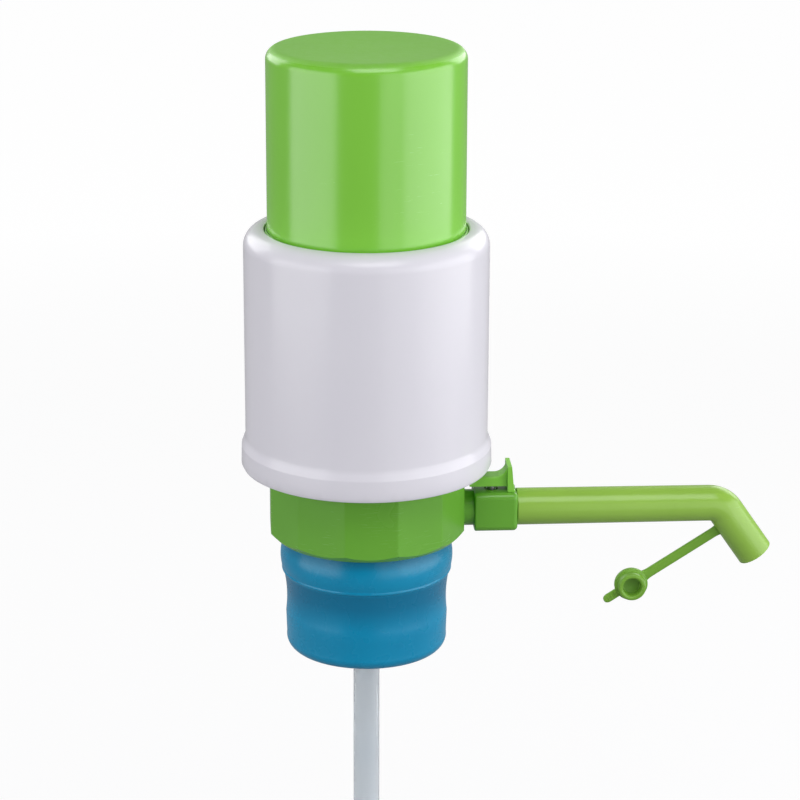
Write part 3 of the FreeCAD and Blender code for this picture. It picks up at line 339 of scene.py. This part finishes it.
def piece_of(name, mesh, slot_name):
    """An object for a mesh, with the finish of one of the record's material slots."""
    for polygon in mesh.polygons:
        polygon.use_smooth = True
    mesh.materials.clear()
    mesh.materials.append(FINISHES[slot_name])
    made = bpy.data.objects.new(name, mesh)
    bpy.context.scene.collection.objects.link(made)
    return made


def skin(rings, closed_ends=False, looped=False):
    """A mesh whose faces join each ring of points to the next, and the last to the first if looped."""
    mesh = bmesh.new()
    rows = [[mesh.verts.new(point) for point in ring] for ring in rings]
    pairs = list(zip(rows, rows[1:]))
    if looped:
        pairs.append((rows[-1], rows[0]))
    count = len(rows[0])
    for before, after in pairs:
        for index in range(count):
            beside = (index + 1) % count
            mesh.faces.new((before[index], before[beside], after[beside], after[index]))
    if closed_ends:
        mesh.faces.new(reversed(rows[0]))
        mesh.faces.new(rows[-1])
    bmesh.ops.recalc_face_normals(mesh, faces=mesh.faces)
    made = bpy.data.meshes.new("skin")
    mesh.to_mesh(made)
    mesh.free()
    return made


def turned(outline, segments=96):
    """A closed outline of radius and height in millimetres, turned about Z."""
    rings = []
    for index in range(segments):
        angle = 2 * math.pi * index / segments
        ring = [mm(radius * math.cos(angle), radius * math.sin(angle), height)
                for radius, height in outline]
        rings.append(ring)
    return skin(rings, looped=True)


def arc(centre, radius, start, end, steps=6):
    """Points of an arc in an outline, with its angles in degrees."""
    points = []
    for index in range(steps + 1):
        angle = math.radians(start + (end - start) * index / steps)
        points.append((centre[0] + radius * math.cos(angle), centre[1] + radius * math.sin(angle)))
    return points


def box_outline(low, high, round_radius):
    """A rectangle of two radii and two heights with rounded corners, as an outline."""
    left, bottom = low
    right, top = high
    r = round_radius
    return [*arc((right - r, bottom + r), r, -90, 0), *arc((right - r, top - r), r, 0, 90),
            *arc((left + r, top - r), r, 90, 180), *arc((left + r, bottom + r), r, 180, 270)]


def wire(points, radius, sides=12):
    """A round rod along a row of points."""
    rings = []
    up = Vector((0, 0, 1))
    for index, point in enumerate(points):
        before = points[max(index - 1, 0)]
        after = points[min(index + 1, len(points) - 1)]
        ahead = (after - before).normalized()
        out = up.cross(ahead).normalized()
        lift = ahead.cross(out)
        ring = []
        for side in range(sides):
            angle = 2 * math.pi * side / sides
            ring.append(point + out * (radius * math.cos(angle)) + lift * (radius * math.sin(angle)))
        rings.append(ring)
    return skin(rings, closed_ends=True)


def spring(name, radius, diameter, turns, low, high, steps=48, sides=12, centre=(0.0, 0.0)):
    """A compression spring with a closed turn at each end, in millimetres between two heights."""
    points = []
    bottom, top = low + diameter / 2, high - diameter / 2
    rise = top - bottom - 2 * diameter
    whole = turns + 2
    for index in range(whole * steps + 1):
        turn = index / steps
        first = min(turn, 1.0)
        last = max(turn - turns - 1, 0.0)
        height = bottom + diameter * (first + last) + rise * min(max(turn - 1, 0.0) / turns, 1.0)
        angle = 2 * math.pi * turn
        points.append(mm(centre[0] + radius * math.cos(angle), centre[1] + radius * math.sin(angle), height))
    return piece_of(name, wire(points, diameter / 2 * MM, sides), "steel")


WELD_DISTANCE = 0.002
SHARP_EDGE = 30


def soften(piece, width):
    """Small rounds on a CAD node's sharp edges, so that they catch the light as moulded edges do."""
    weld = piece.modifiers.new("weld", "WELD")
    weld.merge_threshold = WELD_DISTANCE * MM
    bevel = piece.modifiers.new("edge_rounds", "BEVEL")
    bevel.width = width * MM
    bevel.segments = 2
    bevel.limit_method = "ANGLE"
    bevel.angle_limit = math.radians(SHARP_EDGE)
    piece.modifiers.new("weighted", "WEIGHTED_NORMAL")


# ------------------------------------------------------------------ CAD nodes

# The width of the small rounds on each node's edges, in millimetres.
EDGE_ROUNDS = {
    "press_cap": 0.2, "outer_housing": 0.3, "base": 0.35, "spout_socket": 0.25, "release_lever": 0.3,
    "spout_tube": 0.3, "neck_sleeve": 0.3, "cap_guide_ring": 0.15, "vent_button": 0.15,
    "bellows_plate": 0.3, "bellows_clamp_ring": 0.3, "tube_connectors": 0.2, "tube_foot": 0.25,
    "neck_gasket": 0.3, "lever_pin": 0.1, "dip_tube_upper": 0.2, "dip_tube_middle": 0.2,
    "dip_tube_lower": 0.2, "air_check_valve": 0.15, "air_intake_valve": 0.15,
}

slot_of = {row["node"]: row["material_slot"] for row in frame["record"]["subparts"]}
for name, piece in nodes.items():
    piece.data.materials.clear()
    piece.data.materials.append(FINISHES[OWN_FINISH.get(name, slot_of[name])])
    if name in EDGE_ROUNDS:
        soften(piece, EDGE_ROUNDS[name])


# ------------------------------------------------------------------ bellows and springs

FOLDS = 9
FOLD_WALL = 1.2
FOLD_BORE = 27.7
FOLD_STEPS = 16
FOLD_FULLNESS = 0.8
NECK_HEIGHT = 3.0
NECK_BEND = 0.4
STRAIGHT_TOP = 2.0
FLANGE_THICK = 2.0
FLANGE_OUTER = 32.0
FLANGE_EDGE = 0.4
FLANGE_LAP = 0.4
UPPER_FLANGE_BORE = 28.0
PLATE_GAP = 0.2
# The radius to the middle of the wire, and the wire's diameter, in millimetres.
RETURN_SPRING = {"radius": 17.0, "diameter": 2.0, "turns": 8}
VENT_SPRING = {"radius": 1.75, "diameter": 0.35, "turns": 3}


def fold_outline(low, high, inner, outer):
    """The wall of the bellows: a neck, rounded folds, and a straight stretch under the top flange."""
    first, last = low + NECK_HEIGHT, high - STRAIGHT_TOP
    pitch = (last - first) / FOLDS
    outside = [(inner, low), (inner, first - NECK_BEND)]
    for index in range(FOLDS * FOLD_STEPS - FOLD_STEPS // 2 + 1):
        turn = index / FOLD_STEPS
        swell = 0.5 - 0.5 * math.cos(2 * math.pi * turn)
        outside.append((inner + (outer - inner) * swell ** FOLD_FULLNESS, first + pitch * turn))
    outside.append((outer, high))
    inside = [(radius - FOLD_WALL, height) for radius, height in reversed(outside)]
    return outside + inside


def bellows_pieces():
    """Folds between a flange on the base and one on the cap's plate; the upper flange goes with the cap."""
    low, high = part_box("bellows")
    outer, bottom, top = high.x / MM, low.z / MM, high.z / MM
    plate_low, plate_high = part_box("bellows_plate")
    plate_under, plate_top = plate_low.z / MM, plate_high.z / MM
    plate_radius = plate_high.x / MM
    flange_top = bottom + FLANGE_THICK

    folds = piece_of("bellows_folds",
                     turned(fold_outline(flange_top, plate_under, FOLD_BORE, outer), segments=144),
                     "dark_rubber")
    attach(folds, "root")
    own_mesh(folds)

    foot = box_outline((FOLD_BORE - FLANGE_LAP, bottom), (FLANGE_OUTER, flange_top), FLANGE_EDGE)
    lower = piece_of("bellows_lower_flange", turned(foot), "dark_rubber")
    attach(lower, "root")
    r, bore = FLANGE_EDGE, UPPER_FLANGE_BORE
    over_plate = [
        *arc((outer - r, plate_under + r), r, -90, 0), *arc((outer - r, top - r), r, 0, 90),
        *arc((bore + r, top - r), r, 90, 180), *arc((bore + r, plate_top + r), r, 180, 270),
        (plate_radius + PLATE_GAP, plate_top), (plate_radius + PLATE_GAP, plate_under),
    ]
    upper = piece_of("bellows_upper_flange", turned(over_plate), "dark_rubber")
    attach(upper, "cap")
    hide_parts("bellows")


def springs():
    """The return spring under the cap and the little one under the valve's button."""
    low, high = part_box("return_spring")
    coil = spring("return_spring_wire", **RETURN_SPRING, low=low.z / MM, high=high.z / MM)
    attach(coil, "root")
    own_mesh(coil)
    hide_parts("return_spring")

    low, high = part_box("vent_spring")
    middle = (low + high) / 2 / MM
    coil = spring("vent_spring_wire", **VENT_SPRING, low=low.z / MM, high=high.z / MM, steps=32, sides=8,
                  centre=(middle.x, middle.y))
    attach(coil, "root")
    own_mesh(coil)
    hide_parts("vent_spring")


# ------------------------------------------------------------------ screws

# Lengths in millimetres, angles in degrees.
LONG_SCREW = 10.0
SHORT_SCREW = 7.0
SCREW_CORE = 0.95
SCREW_THREAD = 1.25
SCREW_PITCH = 0.9
HEAD_RADIUS = 2.7
HEAD_HEIGHT = 1.9
RECESS_DEPTH = 1.1
RECESS_TOP = (1.45, 0.36)
RECESS_FLOOR = (0.7, 0.24)
HOUSING_SCREWS = {"circle": 40.0, "angles": (60, 150, 240, 330)}
CLAMP_SCREWS = {"circle": 34.4, "angles": (15, 105, 195, 285)}
CAP_SCREWS = {"circle": 23.5, "angles": (45, 135, 225, 315)}
HOUSING_SEAT = 3.0
FIRST_TURN = 11
TURN_STEP = 37
HEAD_CREASE = 40


def cross_recess():
    """The tapered cross that a driver fits, as a solid to cut from a head."""
    mesh = bmesh.new()
    for turn in (0, 90):
        made = bmesh.ops.create_cube(mesh, size=1.0)["verts"]
        for vert in made:
            top = vert.co.z > 0
            long, wide = RECESS_TOP if top else RECESS_FLOOR
            vert.co = mm(math.copysign(long, vert.co.x), math.copysign(wide, vert.co.y),
                         HEAD_HEIGHT + 0.3 if top else HEAD_HEIGHT - RECESS_DEPTH)
        bmesh.ops.rotate(mesh, verts=made, matrix=Matrix.Rotation(math.radians(turn), 3, "Z"))
    made = bpy.data.meshes.new("cross_recess")
    mesh.to_mesh(made)
    mesh.free()
    return made


def screw_mesh(length):
    """A pan-head screw pointing down from its head's seat: head, recess, core, thread and point."""
    head = [(0.0, 0.0), (HEAD_RADIUS - 0.15, 0.0), (HEAD_RADIUS, 0.15), (HEAD_RADIUS, HEAD_HEIGHT * 0.45),
            *arc((HEAD_RADIUS - 1.1, HEAD_HEIGHT - 1.1), 1.1, 15, 90), (0.0, HEAD_HEIGHT)]
    core = [(0.0, 0.2), (SCREW_CORE, 0.2), (SCREW_CORE, 1.2 - length), (0.25, 0.1 - length), (0.0, -length)]
    mesh = bmesh.new()
    mesh.from_mesh(lathe(core))
    mesh.from_mesh(thread_ridge(length))
    shank = bpy.data.meshes.new("shank")
    mesh.to_mesh(shank)
    mesh.free()
    return with_recess(lathe(head), shank)


def lathe(outline, segments=40):
    """An outline that starts and ends on the axis, turned into a closed solid."""
    mesh = bmesh.new()
    rows = []
    for radius, height in outline[1:-1]:
        rows.append([mesh.verts.new(mm(radius * math.cos(2 * math.pi * i / segments),
                                       radius * math.sin(2 * math.pi * i / segments), height))
                     for i in range(segments)])
    first = mesh.verts.new(mm(0, 0, outline[0][1]))
    last = mesh.verts.new(mm(0, 0, outline[-1][1]))
    for i in range(segments):
        beside = (i + 1) % segments
        mesh.faces.new((first, rows[0][i], rows[0][beside]))
        for before, after in zip(rows, rows[1:]):
            mesh.faces.new((before[i], after[i], after[beside], before[beside]))
        mesh.faces.new((last, rows[-1][beside], rows[-1][i]))
    bmesh.ops.recalc_face_normals(mesh, faces=mesh.faces)
    made = bpy.data.meshes.new("lathe")
    mesh.to_mesh(made)
    mesh.free()
    return made


def thread_ridge(length):
    """The thread: a three-sided ridge wound down the core, fading out at both ends."""
    steps = 20
    turns = (length - 1.6) / SCREW_PITCH
    rings = []
    for index in range(round(turns * steps) + 1):
        turn = index / steps
        angle = -2 * math.pi * turn
        fade = min(1.0, turn * 2, (turns - turn) * 1.2 + 0.05)
        crest = SCREW_CORE + (SCREW_THREAD - SCREW_CORE) * fade
        height = -0.4 - SCREW_PITCH * turn
        ring = []
        for radius, rise in ((SCREW_CORE - 0.1, 0.26), (crest, 0.0), (SCREW_CORE - 0.1, -0.26)):
            ring.append(mm(radius * math.cos(angle), radius * math.sin(angle), height + rise))
        rings.append(ring)
    return skin(rings, closed_ends=True)


def with_recess(head, shank):
    """Cuts the cross from the head, and puts the head and the shank into one mesh."""
    holder = bpy.data.objects.new("screw_head", head)
    cutter = bpy.data.objects.new("screw_cutter", cross_recess())
    for item in (holder, cutter):
        bpy.context.scene.collection.objects.link(item)
    cut = holder.modifiers.new("recess", "BOOLEAN")
    cut.operation = "DIFFERENCE"
    cut.solver = "EXACT"
    cut.use_self = True
    cut.object = cutter
    bpy.context.view_layer.update()
    made = bpy.data.meshes.new_from_object(holder.evaluated_get(bpy.context.evaluated_depsgraph_get()))
    for item in (holder, cutter):
        bpy.data.objects.remove(item)
    mesh = bmesh.new()
    mesh.from_mesh(made)
    mesh.from_mesh(shank)
    mesh.to_mesh(made)
    mesh.free()
    return made


def screw_set(name, mesh, circle, angles, seat, body, upside_down):
    """Screws on a circle about the pump's axis, their heads seated at a height, each turned a bit further."""
    made = []
    for index, degrees in enumerate(angles):
        copy = mesh.copy()
        copy.transform(Matrix.Rotation(math.radians(TURN_STEP * index + FIRST_TURN), 4, "Z"))
        if upside_down:
            copy.transform(Matrix.Rotation(math.pi, 4, "X"))
        angle = math.radians(degrees)
        copy.transform(Matrix.Translation(mm(circle * math.cos(angle), circle * math.sin(angle), seat)))
        piece = piece_of(f"{name}_{degrees}", copy, "steel")
        crease = piece.modifiers.new("edges", "EDGE_SPLIT")
        crease.split_angle = math.radians(HEAD_CREASE)
        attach(piece, body)
        made.append(piece)
    return made


def screws():
    """Four under the deck into the housing, four through the clamp ring, four through the cap's plate."""
    long_screw, short_screw = screw_mesh(LONG_SCREW), screw_mesh(SHORT_SCREW)
    deck_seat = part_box("base_screws")[0].z / MM + HOUSING_SEAT
    clamp_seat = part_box("bellows_clamp_ring")[1].z / MM
    plate_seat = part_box("bellows_plate")[0].z / MM
    housing = screw_set("housing_screw", long_screw, **HOUSING_SCREWS, seat=deck_seat, body="root",
                        upside_down=True)
    screw_set("clamp_screw", long_screw, **CLAMP_SCREWS, seat=clamp_seat, body="root", upside_down=False)
    cap = screw_set("cap_screw", short_screw, **CAP_SCREWS, seat=plate_seat, body="cap", upside_down=True)
    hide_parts("base_screws")
    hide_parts("cap_screws")


# ------------------------------------------------------------------ dust plug

STRAP_REACH = 34.2
STRAP_WIDTH = 3.8
STRAP_THICK = 1.5
STRAP_TO_LEG = 4.6
FLANGE_RADIUS = 6.4
FLANGE_WIDTH = 1.8
PLUG_RADIUS = 5.4
PLUG_HOLE = 3.5
PLUG_LENGTH = 3.6
TAB_REACH = 12.2
TAB_WIDTH = 3.4
TAB_RIBS = 3
TAB_RIB_STEP = 1.3
TAB_RIB_RADIUS = 0.2
# How far the strap runs into the spout's lug, and the strap and the tab into the flange.
STRAP_SUNK = 0.7
FLANGE_OVERLAP = 0.8
STRAP_FLARE = 0.9
FLARE_RATE = 12

hinge = Vector(joints["strap_flex"]["pos_m"])
strap_side = Vector(joints["strap_flex"]["axis"])
strap_way = strap_side.cross(Vector((0, 1, 0)))


def along_strap(distance, side=0.0, out=0.0):
    """A place by its distances in millimetres: along the strap from its hinge, across it, and towards -Y."""
    return hinge + strap_way * (distance * MM) + strap_side * (side * MM) + mm(0, -out, 0)


def rounded_bar(start, end, steps, width_at, thick):
    """A flat bar along the strap's line with rounded edges. width_at gives its width along the way."""
    rings = []
    edge = 0.6
    corners = ((1, 1, 0), (-1, 1, 90), (-1, -1, 180), (1, -1, 270))
    for index in range(steps + 1):
        share = index / steps
        distance = start + (end - start) * share
        half, flat = width_at(share) / 2, thick / 2
        ring = []
        for across, out, first in corners:
            centre = (across * (half - edge), out * (flat - edge))
            for side, rise in arc(centre, edge, first, first + 90, steps=3):
                ring.append(along_strap(distance, side, rise))
        rings.append(ring)
    return skin(rings, closed_ends=True)


def strap_piece():
    """The strap: it widens a little where it runs into the spout and into the plug's flange."""
    def width_at(share):
        ends = max(0.0, 1 - share * FLARE_RATE) + max(0.0, 1 - (1 - share) * FLARE_RATE)
        return STRAP_WIDTH + STRAP_FLARE * ends * ends

    mesh = rounded_bar(-STRAP_TO_LEG - STRAP_SUNK, STRAP_REACH - FLANGE_RADIUS + FLANGE_OVERLAP, 72, width_at,
                       STRAP_THICK)
    piece = piece_of("plug_strap", mesh, "green_soft")
    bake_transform(piece)
    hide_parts("strap_root")


def plug_piece():
    """Flange, hollow plug with a rounded mouth and a grip ring, and the tab that pulls it out."""
    face = FLANGE_WIDTH / 2
    mouth = face + PLUG_LENGTH
    edge, lip = 0.45, 0.85
    outline = [
        # the flange: its back and its rounded rim
        (0.0, -face), (1.6, -face),
        *arc((FLANGE_RADIUS - edge, edge - face), edge, -90, 0),
        *arc((FLANGE_RADIUS - edge, face - edge), edge, 0, 90),
        # the plug's root and its grip ring
        (PLUG_RADIUS + 0.25, face), (PLUG_RADIUS - 0.05, face + 0.3),
        (PLUG_RADIUS - 0.05, face + 1.3), (PLUG_RADIUS, face + 1.7), (PLUG_RADIUS - 0.05, face + 2.1),
        # the rounded mouth, and the hole with its floor
        *arc((PLUG_RADIUS - 0.05 - lip, mouth - lip), lip, 0, 90),
        *arc((PLUG_HOLE + lip, mouth - lip), lip, 90, 180),
        (PLUG_HOLE, 0.6), *arc((PLUG_HOLE - 0.4, 0.6), 0.4, 0, -90, steps=4), (0.0, 0.2),
    ]
    mesh = lathe(outline, segments=72)
    centre = along_strap(STRAP_REACH)
    mesh.transform(Matrix.Translation(centre) @ Matrix.Rotation(math.radians(90), 4, "X"))
    plug = piece_of("dust_plug_body", mesh, "green_soft")
    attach(plug, "plug")

    def tab_width_at(share):
        """Full width for most of the way, then rounded off to a narrow end."""
        past = max(0.0, (share - 0.72) / 0.28)
        return TAB_WIDTH * math.sqrt(max(0.0, 1 - past * past)) + 0.72 * past ** 6

    tab_mesh = rounded_bar(STRAP_REACH + FLANGE_RADIUS - FLANGE_OVERLAP, STRAP_REACH + TAB_REACH, 36,
                           tab_width_at, STRAP_THICK)
    tab = piece_of("pull_tab", tab_mesh, "green_soft")
    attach(tab, "plug")
    for index in range(TAB_RIBS):
        at = STRAP_REACH + FLANGE_RADIUS + 1.2 + TAB_RIB_STEP * index
        line = [along_strap(at, side, STRAP_THICK / 2) for side in (-1.0, -0.95, 0.95, 1.0)]
        rib = wire(line, TAB_RIB_RADIUS * MM, 8)
        ridge = piece_of(f"tab_rib_{index}", rib, "green_soft")
        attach(ridge, "plug")
    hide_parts("dust_plug")


bellows_pieces()
springs()
screws()
strap_piece()
plug_piece()


# ------------------------------------------------------------------ floor, lights and camera

# The world's strength, and the part of a direction along +Y at which it starts to rise from front to back.
BACK_LIGHT = 0.45
FRONT_LIGHT = 0.05
BACK_START = 0.2
# How white the floor looks near the object and far from it, and between which distances that changes.
FLOOR_GLOW = 0.84
FLOOR_GLOW_FAR = 0.97
FLOOR_FADE = (0.7, 2.4)
FLOOR_HALF = 12.0
FLOOR_GREY = srgb(108, 108, 110)
MIRRORED_FLOOR = 0.28


def seen_by_eye(made):
    """1 for rays that the camera sends out, also through clear plastic, less for reflections, 0 for light."""
    path = made.node("ShaderNodeLightPath")
    straight = made.maths("MAXIMUM", path.outputs["Is Camera Ray"], path.outputs["Is Transmission Ray"])
    mirrored = made.maths("MULTIPLY", path.outputs["Is Glossy Ray"], MIRRORED_FLOOR)
    return made.maths("MAXIMUM", straight, mirrored)


def floor_plane():
    """A floor that the eye sees as white with the object's shadow on it, and that bounces little light."""
    low, _ = cad_box
    corners = [(-1, -1), (1, -1), (1, 1), (-1, 1)]
    mesh = bpy.data.meshes.new("floor")
    mesh.from_pydata([(x * FLOOR_HALF, y * FLOOR_HALF, low.z) for x, y in corners], [], [(0, 1, 2, 3)])
    plane = bpy.data.objects.new("floor", mesh)
    bpy.context.scene.collection.objects.link(plane)
    made = Finish("floor_white")
    glow = made.node("ShaderNodeEmission")
    away = made.node("ShaderNodeVectorMath")
    away.operation = "LENGTH"
    made.feed(away.inputs[0], made.place)
    level = made.span(away.outputs["Value"], FLOOR_GLOW, FLOOR_GLOW_FAR, *FLOOR_FADE)
    made.feed(glow.inputs["Strength"], made.maths("MULTIPLY", seen_by_eye(made), level))
    diffuse = made.node("ShaderNodeBsdfDiffuse", Color=FLOOR_GREY)
    both = made.node("ShaderNodeAddShader")
    made.tree.links.new(glow.outputs[0], both.inputs[0])
    made.tree.links.new(diffuse.outputs[0], both.inputs[1])
    output = next(n for n in made.tree.nodes if n.type == "OUTPUT_MATERIAL")
    made.tree.links.new(both.outputs[0], output.inputs["Surface"])
    mesh.materials.append(made.material)


def studio_world():
    """White to the eye. It lights the object softly from behind, and only faintly from the front."""
    world = bpy.data.worlds.new("studio")
    world.use_nodes = True
    bpy.context.scene.world = world
    tree = world.node_tree
    background = next(n for n in tree.nodes if n.type == "BACKGROUND")
    background.inputs["Color"].default_value = (1.0, 1.0, 1.0, 1.0)
    place = tree.nodes.new("ShaderNodeTexCoord")
    way = tree.nodes.new("ShaderNodeSeparateXYZ")
    tree.links.new(place.outputs["Generated"], way.inputs[0])
    level = tree.nodes.new("ShaderNodeMapRange")
    level.interpolation_type = "SMOOTHSTEP"
    tree.links.new(way.outputs["Y"], level.inputs["Value"])
    level.inputs["From Min"].default_value = BACK_START
    level.inputs["From Max"].default_value = 1.0
    level.inputs["To Min"].default_value = FRONT_LIGHT
    level.inputs["To Max"].default_value = BACK_LIGHT
    path = tree.nodes.new("ShaderNodeLightPath")
    eye = tree.nodes.new("ShaderNodeMath")
    eye.operation = "MAXIMUM"
    tree.links.new(path.outputs["Is Camera Ray"], eye.inputs[0])
    tree.links.new(path.outputs["Is Transmission Ray"], eye.inputs[1])
    strength = tree.nodes.new("ShaderNodeMath")
    strength.operation = "MAXIMUM"
    tree.links.new(eye.outputs["Value"], strength.inputs[0])
    tree.links.new(level.outputs["Result"], strength.inputs[1])
    tree.links.new(strength.outputs["Value"], background.inputs["Strength"])


def softbox(name, azimuth, distance, height, aim_height, width, tall, power):
    """An area light that is aimed at the pump's axis and that the camera doesn't see."""
    lamp = bpy.data.lights.new(name, "AREA")
    lamp.shape = "RECTANGLE"
    lamp.size = width
    lamp.size_y = tall
    lamp.energy = power
    holder = bpy.data.objects.new(name, lamp)
    bpy.context.scene.collection.objects.link(holder)
    angle = math.radians(azimuth)
    holder.location = (distance * math.sin(angle), -distance * math.cos(angle), height)
    aim = Vector((0, 0, aim_height)) - holder.location
    holder.rotation_euler = aim.to_track_quat("-Z", "Y").to_euler()
    holder.visible_camera = False


# The camera as fitted to the photograph's outlines: degrees, metres from the pump's axis and up, millimetres.
CAMERA_TURN = 3.0
CAMERA_PITCH = 17.6
CAMERA_DISTANCE = 0.994154
CAMERA_HEIGHT = 0.384594
CAMERA_LENS = 126.0
CAMERA_SENSOR = 36.0
CAMERA_CLIP = (0.05, 60.0)
# The pump's axis stands this many pixels left of the middle of the frame.
AXIS_PIXEL_OFFSET = 33.5
FRAME_PIXELS = 800


def photo_camera():
    """The camera of the photograph: a little round from -Y, looking down."""
    data = bpy.data.cameras.new("camera")
    data.lens = CAMERA_LENS
    data.sensor_width = CAMERA_SENSOR
    data.shift_x = AXIS_PIXEL_OFFSET / FRAME_PIXELS
    data.clip_start, data.clip_end = CAMERA_CLIP
    camera = bpy.data.objects.new("camera", data)
    bpy.context.scene.collection.objects.link(camera)
    turn, pitch = math.radians(CAMERA_TURN), math.radians(CAMERA_PITCH)
    camera.location = (-math.sin(turn) * CAMERA_DISTANCE, -math.cos(turn) * CAMERA_DISTANCE, CAMERA_HEIGHT)
    ahead = Vector((math.sin(turn) * math.cos(pitch), math.cos(turn) * math.cos(pitch), -math.sin(pitch)))
    camera.rotation_euler = ahead.to_track_quat("-Z", "Y").to_euler()
    bpy.context.scene.camera = camera


# Name, azimuth in degrees from -Y towards +X, then in metres the distance, the height, the height that it is
# aimed at, its width and its own height, and at the end its power in watts.
SOFTBOXES = (
    ("softbox_left", -68, 1.25, 0.22, 0.22, 1.5, 1.0, 10.4),
    ("softbox_right", 74, 1.25, 0.22, 0.22, 1.8, 1.0, 14.2),
    ("softbox_inner", 24, 1.25, 0.22, 0.22, 0.55, 1.0, 2.3),
    ("softbox_above", 10, 0.75, 1.25, 0.05, 1.0, 0.8, 8.0),
    ("softbox_back_left", -140, 1.3, 0.6, 0.1, 0.95, 0.8, 5.5),
    ("softbox_back_right", 140, 1.3, 0.6, 0.1, 0.95, 0.8, 5.5),
)

floor_plane()
studio_world()
photo_camera()
for row in SOFTBOXES:
    softbox(*row)
bpy.context.scene.view_settings.view_transform = "Standard"
